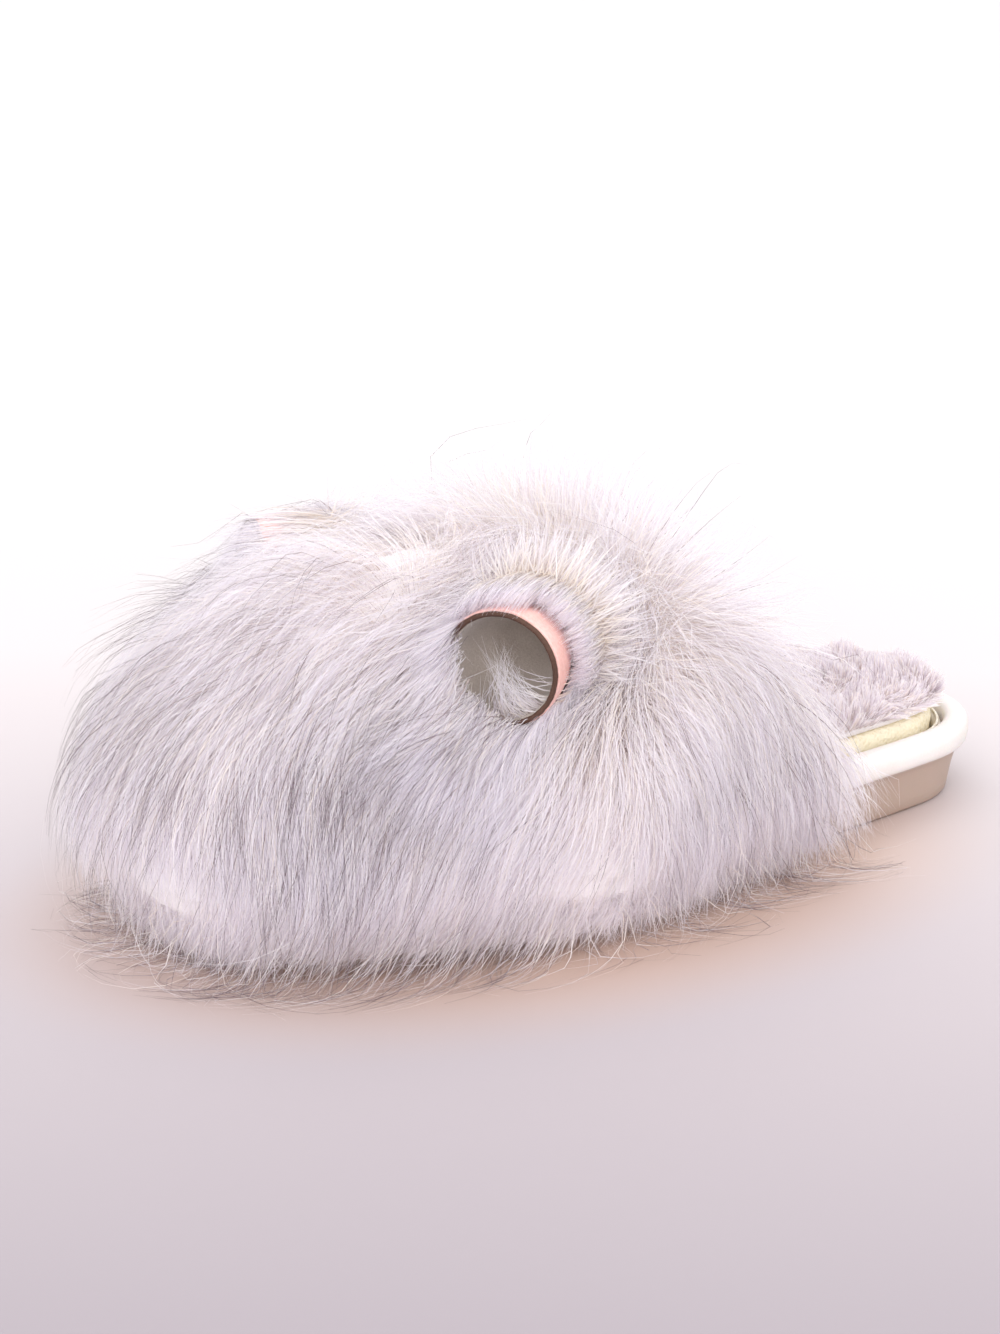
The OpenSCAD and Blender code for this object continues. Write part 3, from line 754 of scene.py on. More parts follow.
@dataclass
class Growth:
    """How one kind of strand grows from its roots.

    lengths in mm; rise is the range of how high in the pile a strand ends, from 0 at the skin to 1 at its
    outside; stray is how much each strand wanders; clump is how far strands lean to their neighbours.
    """

    lengths: tuple[float, float]
    rise: tuple[float, float]
    steps: int
    stray: float
    clump: float
    weight: float = 0.25
    trimmed: float = 0.95
    drift: float = 0.24
    grip: float = 2.4
    per_clump: int = 28

    def grow(self, space: PileSpace, roots: Array, normals: Array, rng: np.random.Generator,
             tufts: Array | None = None) -> Array:
        """Grows every strand step by step through the pile's room.

        Args:
            space: The pile's room.
            roots: Root places in mm.
            normals: The hide's outward directions there.
            rng: The random source.
            tufts: How strongly each strand stands up in a tuft, from 0 to 1.

        Returns:
            Paths (n, steps + 1, 3) in mm.
        """
        count = len(roots)
        length = rng.uniform(*self.lengths, count)
        aim = rng.uniform(*self.rise, count) + rng.normal(0, 0.04, count)
        tuft = np.zeros(count) if tufts is None else tufts
        wander = rng.normal(size=(count, 3)) * self.stray
        crown = smoothstep((roots[:, 2] - 52) / 20)
        side = np.clip(roots[:, 0] / 38, -1, 1) * (1 - crown)
        plume = np.stack([0.5 * side, 0.75 - 0.35 * crown, 0.15 + 0.8 * crown], axis=1)
        by_ear = [ear.beside(roots) for ear in space.ears]
        beside = np.max(by_ear, axis=0)
        low_root = np.clip((roots[:, 2] - 6) / 40, 0, 1)
        length = length * (0.7 + 0.3 * low_root) * (1 + 0.3 * tuft)
        edge = collar_edge(roots) * crown
        length = length * np.where(rng.random(count) < 0.82, 1 - 0.5 * edge, 1.0)
        aim = aim + beside + 0.45 * crown * (aim > 0.5) * smoothstep((roots[:, 1] + 112) / 40)
        reach = np.maximum(roots[:, 2] - 6, 0) + rng.uniform(2, 9, count)
        length = np.where(rng.random(count) < self.trimmed, np.minimum(length, reach), length)
        place = roots + normals * 0.2
        path = [place]
        heading = normals.copy()
        for number in range(1, self.steps + 1):
            part = number / self.steps
            here = space.field_.at(place)
            up = unit(here[:, 1:4] + normals * 0.01)
            away = unit(here[:, 5:8] + normals * 1e-6)
            drift = waves(place, (44.0, 80.0), SEED) * self.drift + wander * (0.4 + part)
            comb = space.lie(place) + drift
            comb = comb * (1 - 0.85 * tuft[:, None]) + plume * tuft[:, None]
            comb -= up * np.sum(comb * up, axis=1, keepdims=True)
            comb = unit(comb) * (1 - 0.7 * np.minimum(beside, 1) * (1 - part))[:, None]
            for ear, near in zip(space.ears, by_ear):
                comb += ear.towards(place) * (1.3 * np.minimum(near, 1) * (1 - part))[:, None]
            wanted = aim * (1 - (1 - min(1.0, part * 1.7)) ** 2) + tuft * part * 1.5
            steep = 1.1 + 2.2 * np.exp(-((roots[:, 1] - parting(roots[:, 2])) / 20) ** 2) + 1.6 * beside
            lift = np.clip((wanted - here[:, 0]) * (self.grip + 2.0 * beside), -1.5, steep)
            lift = np.where(here[:, 4] < 1.2, np.maximum(lift, 0.25), lift)
            way = comb + up * lift[:, None] + away * np.where(here[:, 4] < 1.5, 0.4, 0.0)[:, None]
            way[:, 2] -= self.weight * part * (1 - tuft)
            heading = unit(heading * 0.45 + unit(way) * 0.9)
            grounded = place[:, 2] < 3.0
            if grounded.any():
                spread = away.copy()
                spread[:, 2] = 0
                flat = unit(heading * [1, 1, 0] + unit(spread) * 0.7)
                blend = np.clip((3.0 - place[:, 2]) / 3.0, 0, 1)[:, None]
                heading = unit(heading * (1 - blend) + flat * blend)
            place = place + heading * (length / self.steps)[:, None]
            for ear in space.ears:
                place = ear.clear(place)
            place[:, 2] = np.maximum(place[:, 2], 0.35)
            path.append(place)
        paths = np.stack(path, axis=1)
        if self.clump:
            paths = self.gather(paths, rng)
            for ear in space.ears:
                paths = ear.clear(paths.reshape(-1, 3)).reshape(paths.shape)
        return contain(paths)

    def gather(self, paths: Array, rng: np.random.Generator) -> Array:
        """Leans strands to the nearest of a few guides, more towards their tips."""
        guides = rng.choice(len(paths), size=max(1, len(paths) // self.per_clump), replace=False)
        tree = KDTree(len(guides))
        for i, guide in enumerate(guides):
            tree.insert(Vector(paths[guide, 0]), i)
        tree.balance()
        near = guides[[tree.find(Vector(p))[1] for p in paths[:, 0]]]
        strength = rng.uniform(0.25, 1.0, len(paths))[near] * self.clump
        part = np.linspace(0, 1, paths.shape[1])[None, :, None] ** 1.3
        pull = strength[:, None, None] * part * rng.uniform(0.5, 1.0, (len(paths), 1, 1))
        return paths + (paths[near] - paths) * pull


def contain(paths: Array) -> Array:
    """Bends the last stray tips back inside the room that fabric may stand proud of the CAD box."""
    low = np.array(CAD_BOX[0]) / MM
    high = np.array(CAD_BOX[1]) / MM
    over = 11.0
    knee = 5.0
    above = paths - (high + knee)
    paths = np.where(above > 0, high + knee + (over - knee) * np.tanh(above / 14), paths)
    below = (low - knee) - paths
    paths = np.where(below > 0, low - knee - (over - knee) * np.tanh(below / 14), paths)
    paths[:, :, 2] = np.maximum(paths[:, :, 2], 0.3)
    return paths


def strand_mesh(name: str, paths: Array, outward: Array, width: float, material: bpy.types.Material,
                rng: np.random.Generator, tip: float = 0.12) -> bpy.types.Object:
    """Lays one tapering blade along every path.

    Args:
        name: The piece's name.
        paths: Paths (n, k, 3) in mm.
        outward: The way out of the hide for each strand (n, 3).
        width: A blade's greatest width in mm.
        material: Its material.
        rng: The random source.
        tip: The tip's width as a share of the greatest.

    Returns:
        The piece, all its strands in one mesh.
    """
    count, knots = paths.shape[:2]
    bm = bmesh.new()
    bm.loops.layers.uv.new(STRAND_UV)
    bmesh.ops.create_grid(bm, x_segments=1, y_segments=knots - 1, size=1.0, calc_uvs=True)
    blade = bpy.data.meshes.new(name + "_blade")
    bm.to_mesh(blade)
    bm.free()
    holder = bpy.data.objects.new(name + "_blade", blade)
    bpy.context.scene.collection.objects.link(holder)
    array = holder.modifiers.new("repeat", "ARRAY")
    array.count = count
    array.use_relative_offset = False
    graph = bpy.context.evaluated_depsgraph_get()
    mesh = bpy.data.meshes.new_from_object(holder.evaluated_get(graph), depsgraph=graph)
    bpy.data.objects.remove(holder)
    tangent = unit(np.gradient(paths, axis=1))
    turn = rng.normal(0, 0.55, (count, 1, 1))
    flat = unit(np.cross(tangent, outward[:, None, :]))
    lateral = unit(flat * np.cos(turn) + np.cross(flat, tangent) * np.sin(turn))
    part = np.linspace(0, 1, knots)
    taper = np.minimum(0.65 + 2.2 * part, 1.0) * (1 - (1 - tip) * smoothstep((part - 0.35) / 0.65))
    half = width / 2 * taper[None, :, None] * rng.uniform(0.75, 1.25, (count, 1, 1))
    points = np.stack([paths - lateral * half, paths + lateral * half], axis=2)
    mesh.vertices.foreach_set("co", (points * MM).astype(np.float32).ravel())
    corner = np.empty(len(mesh.loops), dtype=np.int32)
    mesh.loops.foreach_get("vertex_index", corner)
    tone = rng.random(count)
    per = knots * 2
    uvs = np.stack([tone[corner // per], part[(corner % per) // 2]], axis=1)
    mesh.uv_layers[STRAND_UV].data.foreach_set("uv", uvs.astype(np.float32).ravel())
    mesh.materials.clear()
    mesh.materials.append(material)
    mesh.update()
    mesh.name = name
    made = bpy.data.objects.new(name, mesh)
    bpy.context.scene.collection.objects.link(made)
    return made


# ---------------------------------------------------------------- sub-assemblies


@dataclass
class Sole:
    """The cup sole, its insole layers, the piping in its channel and the stitches on it. Sizes in mm."""

    stations: int = 288
    wall_foot: float = 5.5
    wall_top: float = 3.0
    top: float = 21.5
    floor: float = 10.0
    tread_margin: float = 7.0
    tread_pitch: float = 13.0
    tread_width: float = 2.4
    tread_depth: float = 1.6

    def build(self) -> None:
        """Builds every layer from the ground up."""
        self.cup()
        for node, finish in (("insole_board", BOARD), ("rim_stitches", THREAD)):
            dress(node, finish.material())
        self.cushion()
        self.plush()
        self.piping()

    def cup(self) -> None:
        """Lofts the moulded cup: grooved underside, drawn-in wall, rounded lip and the pocket inside it."""
        line = contour("outsole", 18.0, self.stations)
        foot, head, t = self.wall_foot, self.wall_top, self.top
        profile = [(foot + 1.6, 0.0), (foot + 0.6, 0.25), (foot, 1.0), (foot - 0.5, 4.0), (foot - 1.2, 8.0),
                   (head + 0.35, 11.6), (head, 13.2), (head - 0.5, 13.9), (head - 1.5, 14.15), (0.9, 14.5),
                   (0.35, 15.2), (0.08, 16.4), (0.0, 17.6), (0.1, 18.9), (0.5, 20.1), (1.15, 20.9),
                   (2.1, 21.35), (3.2, t), (4.8, t), (5.9, 21.35), (6.6, 20.9), (7.0, 20.0), (7.0, 15.0),
                   (7.0, 10.4), (7.4, self.floor)]

        def sway(places: Array, number: int) -> Array:
            """Lets the lip wander a little, as a demoulded part does."""
            soft = waves(places * [1, 1, 0], (34.0, 60.0), SEED + 5)
            places[:, :2] += soft[:, :2] * (0.16 if number in range(7, 21) else 0.04)
            return places

        bm = loft(line, profile, sway=sway)
        bmesh.ops.recalc_face_normals(bm, faces=bm.faces)
        bottom = [f for f in bm.faces if len(f.verts) > 8 and f.calc_center_median().z < 1 * MM]
        bmesh.ops.inset_region(bm, faces=bottom, thickness=self.tread_margin * MM, use_even_offset=True)
        low = np.arange(-110.5, 111, self.tread_pitch)
        for y in low:
            for edge in (y - self.tread_width / 2, y + self.tread_width / 2):
                inner = [f for f in bm.faces if f.normal.z < -0.9 and abs(f.calc_center_median().z) < 0.1 * MM
                         and len(f.verts) > 4]
                geom = {g for f in inner for g in (f, *f.edges, *f.verts)}
                bmesh.ops.bisect_plane(bm, geom=list(geom), dist=1e-7, plane_co=(0, edge * MM, 0),
                                       plane_no=(0, 1, 0))
        strips = [f for f in bm.faces if f.normal.z < -0.9 and abs(f.calc_center_median().z) < 0.1 * MM
                  and len(f.verts) > 3
                  and np.min(np.abs(f.calc_center_median().y / MM - low)) < 0.2
                  and max(v.co.y for v in f.verts) - min(v.co.y for v in f.verts) < 4 * MM]
        LOG.info("tread grooves: %d", len(strips))
        raised = bmesh.ops.extrude_face_region(bm, geom=strips)["geom"]
        bmesh.ops.translate(bm, verts=[g for g in raised if isinstance(g, bmesh.types.BMVert)],
                            vec=(0, 0, self.tread_depth * MM))
        piece = finish_mesh(bm, "cup_sole", EVA.material())
        settle(piece, BODY, ("outsole",))

    def cushion(self) -> None:
        """Lofts the foam bed with pressed round edges."""
        line = contour("insole_foam", 18.0, self.stations)
        profile = [(9.0, 12.02), (1.4, 12.1), (0.3, 12.8), (0.1, 14.5), (0.45, 17.5), (0.15, 20.5),
                   (0.5, 22.6), (1.6, 23.3), (9.0, 23.45), (22.0, 23.48)]
        piece = finish_mesh(loft(line, profile), "insole_foam_bed", CUSHION.material())
        settle(piece, BODY, ("insole_foam",))

    def plush(self) -> None:
        """Lofts the crowned plush cover, whose pile is grown on it later."""
        line = contour("insole_plush", 27.0, self.stations)
        profile = [(12.0, 23.62), (2.6, 23.7), (0.9, 24.2), (0.2, 25.6), (0.5, 27.2), (2.0, 28.6),
                   (4.6, 29.5), (8.0, 30.0), (13.0, 30.4), (19.0, 30.6), (25.0, 30.7), (31.0, 30.7)]

        def sway(places: Array, number: int) -> Array:
            """Gives the top the shallow lumps of a worn pile."""
            if number > 4:
                places[:, 2] += waves(places, (11.0, 19.0), SEED + 9)[:, 2] * 0.32
            return places

        piece = finish_mesh(loft(line, profile, sway=sway), "insole_plush_cover", PLUSH_GROUND.material())
        settle(piece, BODY, ("insole_plush",))

    def piping(self) -> None:
        """Lofts the piping as a soft roll that puckers between its stitches."""
        line = contour("edge_binding", 15.0, self.stations * 2)
        middle = 1.45
        profile = [(middle - 1.25, 12.2), (middle - 1.35, 15.0), (middle - 1.3, 17.2), (middle - 0.8, 18.4),
                   (middle, 18.75), (middle + 0.8, 18.4), (middle + 1.3, 17.2), (middle + 1.35, 15.0),
                   (middle + 1.25, 12.2)]

        def sway(places: Array, number: int) -> Array:
            """Draws the roll down at each stitch and lets its top wander."""
            run = np.arange(len(places))
            pucker = 0.22 * np.cos(run * 2 * math.pi / 9) + waves(places, (14.0, 31.0), SEED + 2)[:, 2] * 0.12
            places[:, 2] += np.minimum(pucker, 0.05) * (1.0 if 2 <= number <= 6 else 0.0)
            return places

        piece = finish_mesh(loft(line, profile, closed=True, sway=sway), "channel_piping", PIPING.material())
        settle(piece, BODY, ("edge_binding",))


@dataclass
class Upper:
    """The upper's hidden layers and its collar, made from merged copies of their solids."""

    def build(self) -> None:
        """Builds the lining, the foam, the collar and the seam."""
        def fleece(places: Array, normals: Array) -> Array:
            """Roughens the fleece by a few tenths of a millimetre."""
            return places + normals * (waves(places, (4.5, 9.0, 17.0), SEED + 3)[:, :1] * 0.12 - 0.12)

        def roll(places: Array, normals: Array) -> Array:
            """Puckers the binding where its seam pulls it in."""
            run = np.degrees(np.arctan2(places[:, 0], places[:, 2] - 20))
            pucker = np.cos(np.radians(run) * 68)[:, None] * 0.16
            return places + normals * (pucker + waves(places, (12.0,), SEED + 4)[:, :1] * 0.1 - 0.1)

        lining = shaped_copy("vamp_lining", "fleece_lining", FLEECE.material(), 1, fleece)
        settle(lining, BODY, ("vamp_lining",))
        foam = shaped_copy("vamp_foam", "foam_interlining", LAMINATE.material(), 0, fleece)
        settle(foam, BODY, ("vamp_foam",))
        collar = shaped_copy("collar_binding", "collar_roll", KNIT.material(), 2, roll)
        settle(collar, BODY, ("collar_binding",))
        dress("panel_seam_thread", THREAD.material())


@dataclass
class Ears:
    """The two rolled leatherette ears: shell with its lapped seam, felt lining and dark cut edge."""

    lap: float = 0.35
    squash: float = 0.35

    def build(self) -> None:
        """Builds both ears."""
        shell, felt, edge = LEATHERETTE.material(), FELT.material(), CUT_EDGE.material()
        for side in ("left", "right"):
            form = EarForm(side)
            for node, name, material, slot in (("shell", "rolled_shell", shell, "ear_leatherette"),
                                               ("lining", "felt", felt, "ear_felt"),
                                               ("edge", "cut_edge", edge, "ear_edge")):
                piece = shaped_copy(f"ear_{side}_{node}", f"ear_{side}_{name}", material, 1,
                                    lambda p, n, f=form, k=node: self.shape(p, n, f, k))
                settle(piece, f"ear_{side}", (f"ear_{side}_{node}",))

    def shape(self, places: Array, normals: Array, form: EarForm, layer: str) -> Array:
        """Makes the roll a little oval and laps one edge of the sheet over the other.

        Args:
            places: Vertex places in mm.
            normals: Vertex normals.
            form: The ear's measured form.
            layer: "shell", "lining" or "edge".

        Returns:
            The new places.
        """
        along, across = form.split(places)
        flat = unit(np.cross(form.axis, [0.0, 0.0, 1.0]))
        other = np.cross(form.axis, flat)
        angle = np.arctan2(across @ other, across @ flat)
        near_mouth = smoothstep((along + form.length) / form.length)
        oval = -self.squash * 0.5 * (1 - np.cos(2 * angle)) * near_mouth
        places = places + unit(across) * oval[:, None]
        if layer == "shell":
            lap = smoothstep((angle + 2.2) / 0.12) * (1 - smoothstep((angle + 2.0) / 0.5))
            out = np.sum(normals * unit(across), axis=1)
            places = places + unit(across) * (lap * self.lap * near_mouth * np.clip(out, 0, 1))[:, None]
            places = places + normals * waves(places, (5.0, 11.0), SEED + 6)[:, :1] * 0.06
        if layer == "edge":
            places = places + normals * waves(places, (2.0, 3.5), SEED + 7)[:, :1] * 0.09
        return places


@dataclass
class Fur:
    """The long-haired panels: underwool, long pile, dark-tipped guard hair and the tufts at the collar."""

    space: PileSpace
    toe_strands: int = 98000
    instep_strands: int = 72000
    guards: int = 7600
    per_piece: int = 16000
    pile_width: float = 0.23
    ear_pile_width: float = 0.24
    guard_width: float = 0.2
    fringe_width: float = 0.19

    def build(self) -> None:
        """Builds the underwool and grows every kind of strand."""
        under = UNDERWOOL.material()
        for panel, name in (("fur_toe_panel", "toe"), ("fur_instep_panel", "instep")):
            piece = shaped_copy(panel, f"{name}_underwool", under, 1, self.underwool)
            settle(piece, BODY, (panel,))
        rng = np.random.default_rng(SEED)
        pile = PILE.material()
        long_pile = Growth((36.0, 52.0), (0.42, 1.0), 6, 0.24, 0.36)
        for panel, name, count in (("fur_toe_panel", "toe", self.toe_strands),
                                   ("fur_instep_panel", "instep", self.instep_strands)):
            roots, normals = self.space.sample(panel, count, rng, self.pile_share)
            tufts = self.tufts(roots, rng)
            paths = long_pile.grow(self.space, roots, normals, rng, tufts)
            self.pieces(f"{name}_pile", paths, normals, self.pile_width, pile, rng)
        for form, count in zip(self.space.ears, (170, 110)):
            paths, outward = self.strays_in_ear(form, count, rng)
            self.pieces(f"ear_{form.side}_stray_pile", paths, outward, self.ear_pile_width, pile, rng)
        for form in self.space.ears:
            paths, outward = self.over_ear(form, rng)
            self.pieces(f"ear_{form.side}_cover_pile", paths, outward, self.ear_pile_width, pile, rng)
        guard = GUARD.material()
        hair = Growth((48.0, 66.0), (0.95, 1.2), 9, 0.2, 0.1, per_clump=9, trimmed=0.9, drift=0.1,
                      grip=1.5)
        for panel, name, count in (("fur_toe_panel", "toe", self.guards),
                                   ("fur_instep_panel", "instep", self.guards // 2)):
            roots, normals = self.space.sample(panel, count, rng, self.guard_share)
            paths = hair.grow(self.space, roots, normals, rng, self.tufts(roots, rng) * 0.8)
            self.pieces(f"{name}_guard_hair", paths, normals, self.guard_width, guard, rng)
        fringe = Growth((50.0, 74.0), (0.9, 1.25), 8, 0.34, 0.0, weight=0.4, trimmed=0.0, drift=0.2, grip=1.5)
        for panel, name, count, finish in (
                ("fur_toe_panel", "toe_fringe_white", 330, pile),
                ("fur_toe_panel", "toe_fringe_dark", 300, guard),
                ("fur_instep_panel", "instep_fringe_white", 190, pile),
                ("fur_instep_panel", "instep_fringe_dark", 150, guard)):
            roots, normals = self.space.sample(panel, count * 4, rng, self.fringe_share)
            roots, normals = roots[:count], normals[:count]
            paths = fringe.grow(self.space, roots, normals, rng)
            self.pieces(name, paths, normals, self.fringe_width, finish, rng)

    def strays_in_ear(self, form: EarForm, count: int, rng: np.random.Generator) -> tuple[Array, Array]:
        """Pile that slips over an ear's lower rim into its mouth.

        Args:
            form: The ear.
            count: How many strands.
            rng: The random source.

        Returns:
            Their paths and outward directions.
        """
        down = unit(np.array([0.0, 0.0, -1.0]) - form.axis * -form.axis[2])
        across = np.cross(form.axis, down)
        angle = rng.normal(0, 0.5, count) + (0.35 if form.side == "left" else 0.0)
        spoke = np.cos(angle)[:, None] * down + np.sin(angle)[:, None] * across
        lean = rng.normal(0, 2.2, (count, 3))
        reach = rng.uniform(0.1, 0.9, count)[:, None]
        outside = form.mouth + spoke * (form.radius + 1.6) - form.axis * 11
        at_rim = form.mouth + spoke * (form.radius + 0.5) + form.axis * 0.8 + lean * 0.1
        over = form.mouth + spoke * (form.radius * 0.62) + form.axis * 1.6 + lean * 0.5
        end = form.mouth + spoke * form.radius * (0.5 - reach) - form.axis * (reach * 5 - 1.5) + lean
        part = np.linspace(0, 1, 8)[None, :, None]
        paths = ((1 - part) ** 3 * outside[:, None] + 3 * (1 - part) ** 2 * part * at_rim[:, None]
                 + 3 * (1 - part) * part ** 2 * over[:, None] + part ** 3 * end[:, None])
        return paths, np.repeat(form.axis[None], count, axis=0)

    def over_ear(self, form: EarForm, rng: np.random.Generator) -> tuple[Array, Array]:
        """Pile that fills the hollow behind a rolled ear and lies along it, up to its rim or past it.

        Args:
            form: The ear.
            rng: The random source.

        Returns:
            Their paths and outward directions.
        """
        outer = form.side == "left"
        up = unit(np.array([0.0, 0.0, 1.0]) - form.axis * form.axis[2])
        across = unit(np.array([1.0, 0.0, 0.0]) - form.axis * form.axis[0])
        lain, stood = (4800, 2400) if outer else (1400, 300)
        angle = np.concatenate([rng.uniform(-1.9, 1.9, lain) if outer else rng.normal(1.15, 0.75, lain),
                                rng.uniform(-1.8, 2.0, stood)])
        count = lain + stood
        lies = np.arange(count) < lain
        spoke = np.cos(angle)[:, None] * up + np.sin(angle)[:, None] * across
        behind = np.where(lies, rng.uniform(0.4, 1.05, count), rng.uniform(0.5, 1.1, count)) * form.length
        size = form.girth(behind)
        past = rng.uniform(-3.5, 1.5, count) if outer else rng.uniform(3, 13, count)
        past = np.where(lies & (angle > 0.3) & outer, past - 7.5, past)
        rim = form.radius * (1.0 if outer else 0.0) + (rng.uniform(0.7, 3.2, count) if outer
                                                      else form.radius * rng.uniform(0.35, 1.15, count))
        stray = rng.normal(0, 0.9, (count, 3))
        root = size + rng.uniform(0.8, 3.5, count)
        start = form.mouth - form.axis * behind[:, None] + spoke * root[:, None]
        laid = form.mouth + form.axis * past[:, None] + spoke * rim[:, None] + stray
        swept = spoke * 0.6 - form.axis * 0.8 + up * 0.1
        stands = start + swept * rng.uniform(5, 15, count)[:, None] + stray * 4
        end = np.where(lies[:, None], laid, stands)
        middle = (start + end) / 2 + spoke * np.where(lies, 4.0, 1.5)[:, None]
        part = np.linspace(0, 1, 8)[None, :, None]
        paths = ((1 - part) ** 2 * start[:, None] + 2 * (1 - part) * part * middle[:, None]
                 + part ** 2 * end[:, None])
        return form.clear(paths.reshape(-1, 3)).reshape(paths.shape), spoke

    def underwool(self, places: Array, normals: Array) -> Array:
        """Draws the pile's outside in to the height where the underwool ends."""
        near = np.array([self.space.core.find_nearest(Vector(p))[0] for p in places])
        depth = np.linalg.norm(places - near, axis=1, keepdims=True)
        lumps = waves(places, (9.0, 16.0, 29.0), SEED + 8)[:, :1]
        beside = np.max([ear.beside(places) for ear in self.space.ears], axis=0)[:, None]
        thinned = 1 - 0.45 * collar_edge(places)[:, None]
        full = (0.34 + 0.22 * smoothstep((places[:, 2:] - 5) / 22)) * thinned
        share = np.where(depth > 2.5, np.minimum(full + 0.05 * lumps + 0.45 * beside, 1.0), 1.0)
        places = near + (places - near) * share
        for ear in self.space.ears:
            places = np.where(depth > 2.5, ear.crowd(places), places)
        return places

    def tufts(self, roots: Array, rng: np.random.Generator) -> Array:
        """How strongly strands stand up: along the collar's top, in separate tufts."""
        y, z = roots[:, 1], roots[:, 2]
        band = smoothstep((y - SEAM_Y - 8) / 18) * smoothstep((z - 55) / 18)
        rim = smoothstep((y + 0.84 * (z - 80) + 24) / 15)
        spot = 0.5 + 0.5 * waves(roots, (11.0, 19.0), SEED + 12)[:, 0]
        own = rng.uniform(0.1, 1.0, len(roots))
        return np.clip((0.8 * band + 0.3 * rim) * (0.25 + 0.75 * spot) * own, 0, 1)

    @staticmethod
    def pile_share(places: Array) -> Array:
        """The pile is thinned at the hem and closed up along the parting, where strands lie away from it."""
        y, z = places[:, 1], places[:, 2]
        hem = 0.35 + 0.65 * smoothstep((z - 8) / 12)
        thick = 0.32 + 0.12 * smoothstep((z - 50) / 15)
        return hem * (1 - thick + thick * np.exp(-((y - parting(z)) / 16) ** 2))

    @staticmethod
    def guard_share(places: Array) -> Array:
        """Guard hair is dense on the toe panel's sides and low edge and thin on the instep."""
        y, z = places[:, 1], places[:, 2]
        low = np.clip(1 - (z - 20) / 60, 0, 1)
        forward = smoothstep((SEAM_Y - y) / 60)
        patch = 0.5 + 0.5 * waves(places, (17.0, 33.0), SEED + 13)[:, 0]
        hem = smoothstep((z - 8) / 14)
        return np.clip(0.12 + 0.5 * low + 0.3 * forward, 0, 1) * np.clip(patch + 0.25, 0.1, 1) * hem

    @staticmethod
    def fringe_share(places: Array) -> Array:
        """The long loose hair that reaches the ground grows low on the sides."""
        return smoothstep((places[:, 2] - 8) / 8) * smoothstep((52 - places[:, 2]) / 20)

    def pieces(self, name: str, paths: Array, normals: Array, width: float, material: bpy.types.Material,
               rng: np.random.Generator) -> None:
        """Splits strands into pieces of a workable size and settles them."""
        total = math.ceil(len(paths) / self.per_piece)
        for number in range(total):
            part = slice(number * self.per_piece, (number + 1) * self.per_piece)
            piece = strand_mesh(f"{name}_{number + 1}", paths[part], normals[part], width, material, rng)
            settle(piece, BODY)


@dataclass
class PlushPile:
    """The short clumped pile on the insole."""

    count: int = 44000
    length: tuple[float, float] = (2.6, 4.3)

    def build(self) -> None:
        """Grows the pile on the plush cover where it can be seen."""
        rng = np.random.default_rng(SEED + 20)
        cover = bpy.data.objects["insole_plush_cover"].data
        cover.calc_loop_triangles()
        places = np.array([v.co for v in cover.vertices]) / MM
        faces = np.array([t.vertices[:] for t in cover.loop_triangles])
        corners = places[faces]
        cross = np.cross(corners[:, 1] - corners[:, 0], corners[:, 2] - corners[:, 0])
        area = np.linalg.norm(cross, axis=1) / 2
        normal = unit(cross)
        middle = corners.mean(axis=1)
        weight = area * (normal[:, 2] > -0.2) * smoothstep((middle[:, 1] + 80) / 60)
        roots, normals = scatter(corners, weight, self.count, rng)
        steps = 4
        length = rng.uniform(*self.length, self.count) * (1 + 0.5 * smoothstep(1 - normals[:, 2]))
        lean = waves(roots, (13.0, 23.0), SEED + 21) * 0.4 + rng.normal(0, 0.15, (self.count, 3))
        part = np.linspace(0, 1, steps + 1)[None, :, None]
        up = unit(normals + np.array([0, 0, 0.35]))
        bend = up[:, None] * part + lean[:, None] * part ** 2 * 0.6
        paths = roots[:, None] + length[:, None, None] * bend
        gather = Growth(self.length, (0, 1), steps, 0.0, 0.62, per_clump=30)
        paths = gather.gather(paths, rng)
        material = PLUSH.material()
        half = self.count // 2
        for number, piece_slice in enumerate((slice(0, half), slice(half, None))):
            piece = strand_mesh(f"insole_plush_pile_{number + 1}", paths[piece_slice], normals[piece_slice],
                                0.4, material, rng, tip=0.35)
            settle(piece, BODY)


def dress(node: str, material: bpy.types.Material) -> None:
    """Gives a CAD node that stays its material."""
    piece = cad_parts[node]
    if piece.material_slots:
        for slot in piece.material_slots:
            slot.material = material
    else:
        piece.data.materials.append(material)


# ---------------------------------------------------------------- studio


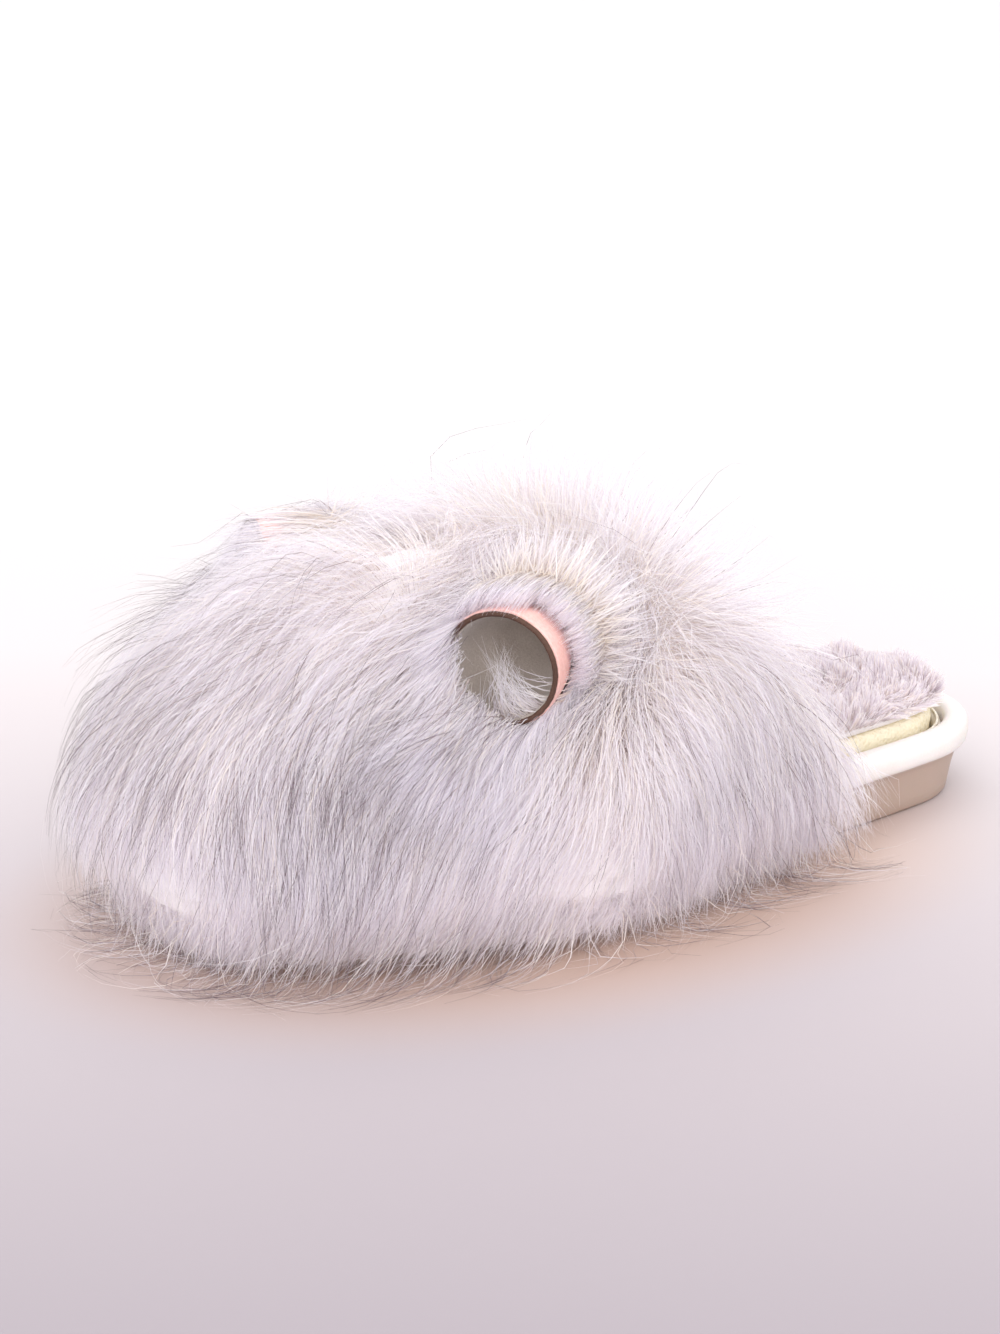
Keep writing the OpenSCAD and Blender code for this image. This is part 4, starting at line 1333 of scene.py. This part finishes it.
@dataclass
class Studio:
    """Pale floor, soft light and the camera, whose angles are in degrees and its distance in metres."""

    azimuth: float = 45.5
    elevation: float = 19.0
    roll: float = 1.5
    distance: float = 1.0
    focal: float = 3740.0
    long_side: float = 1334.0
    aside: float = 93.5
    below: float = 180.05

    def build(self) -> None:
        """Builds the floor, the lights, the world and the camera."""
        self.camera()
        self.floor()
        self.lights()

    def camera(self) -> None:
        """Turns the camera so that the slipper sits right of and below the middle of the frame."""
        a, e, r = (math.radians(v) for v in (self.azimuth, self.elevation, self.roll))
        back = Vector((math.sin(a) * math.cos(e), -math.cos(a) * math.cos(e), math.sin(e)))
        right = Vector((math.cos(a), math.sin(a), 0))
        up = back.cross(right)
        right, up = (math.cos(r) * right + math.sin(r) * up, math.cos(r) * up - math.sin(r) * right)
        ahead = (-back - right * (self.aside / self.focal) + up * (self.below / self.focal)).normalized()
        right = ahead.cross(up).normalized()
        up = right.cross(ahead)
        data = bpy.data.cameras.new("camera")
        data.sensor_width = 36.0
        data.lens = self.focal / self.long_side * data.sensor_width
        data.clip_start = 0.02
        made = bpy.data.objects.new("camera", data)
        bpy.context.scene.collection.objects.link(made)
        matrix = made.matrix_world.to_3x3()
        matrix.col[0], matrix.col[1], matrix.col[2] = right, up, -ahead
        made.matrix_world = matrix.to_4x4()
        made.location = back * self.distance
        bpy.context.scene.camera = made

    def floor(self) -> None:
        """Lays a wide floor whose colour holds painted light: lavender-grey painted shade near the slipper
        and towards the camera, white far off, and a painted warm glow right under it.
        """
        bm = bmesh.new()
        bmesh.ops.create_circle(bm, cap_ends=True, segments=96, radius=14.0)
        bmesh.ops.translate(bm, verts=bm.verts, vec=(0, 0, -0.0002))
        material = bpy.data.materials.new("studio_table_painted_light")
        material.use_nodes = True
        tree = material.node_tree
        coords = add_node(tree, "TexCoord").outputs["Object"]
        away = (-math.sin(math.radians(self.azimuth)), math.cos(math.radians(self.azimuth)), 0.0)
        # Painted light: the floor's colour darkens towards the camera and brightens to white far off, as the
        # light falls off
        run = add_node(tree, "VectorMath", {"operation": "DOT_PRODUCT"},
                       {0: coords, 1: away}).outputs["Value"]
        far = add_node(tree, "MapRange", {},
                       {"Value": run, "From Min": -0.35, "From Max": 0.75}).outputs["Result"]
        wide = set_ramp(add_node(tree, "ValToRGB", {}, {"Fac": far}),
                        ((0.0, "#9a9299"), (0.28, "#bfb7bb"), (0.48, "#d5cfd1"), (0.75, "#d9d6d8"),
                         (1.0, "#e2e0e1")))
        # Painted warm glow: a peach tint blended in over an oval round the slipper's footprint, for the
        # table's light under it
        oval = add_node(tree, "Mapping", {}, {"Vector": coords, "Location": (0.0, 0.03, 0.0),
                                              "Scale": (1.45, 1.0, 1.0)}).outputs["Vector"]
        near = add_node(tree, "VectorMath", {"operation": "LENGTH"}, {0: oval}).outputs["Value"]
        glow = add_node(tree, "MapRange", {"interpolation_type": "SMOOTHSTEP"},
                        {"Value": near, "From Min": 0.085, "From Max": 0.165, "To Min": 0.8,
                         "To Max": 0.0}).outputs["Result"]
        colour = add_node(tree, "Mix", {"data_type": "RGBA"}, {0: glow, 6: wide, 7: linear("#c9ab98")})
        shader = tree.nodes["Principled BSDF"]
        tree.links.new(colour.outputs[2], shader.inputs["Base Color"])
        shader.inputs["Roughness"].default_value = 0.6
        shader.inputs["Specular IOR Level"].default_value = 0.15
        finish_mesh(bm, "studio_floor", material, smooth=False)

    def lights(self) -> None:
        """Lights the world and hangs one large soft light above and a fill on the camera's side."""
        world = bpy.data.worlds.new("studio")
        bpy.context.scene.world = world
        world.use_nodes = True
        ground = world.node_tree.nodes["Background"]
        ground.inputs["Color"].default_value = linear("#fffdfd")
        ground.inputs["Strength"].default_value = 1.3
        for name, place, size, power, tint in (
                ("overhead_softbox", (-0.35, 0.35, 1.5), 1.4, 4.0, "#fffcfa"),
                ("front_fill", (1.3, -1.3, 0.8), 1.4, 24.0, "#fcfcff")):
            data = bpy.data.lights.new(name, "AREA")
            data.size = size
            data.energy = power
            data.color = linear(tint)[:3]
            lamp = bpy.data.objects.new(name, data)
            bpy.context.scene.collection.objects.link(lamp)
            lamp.location = place
            lamp.rotation_euler = (-Vector(place)).to_track_quat("-Z", "Y").to_euler()
        bpy.context.scene.view_settings.view_transform = "Standard"
        bpy.context.scene.cycles.diffuse_bounces = 10


def main() -> None:
    """Builds the slipper and its studio."""
    logging.basicConfig(level=logging.INFO, format="%(message)s")
    Studio().build()
    Sole().build()
    Upper().build()
    Ears().build()
    PlushPile().build()
    Fur(PileSpace()).build()


if __name__ == "__main__":
    main()
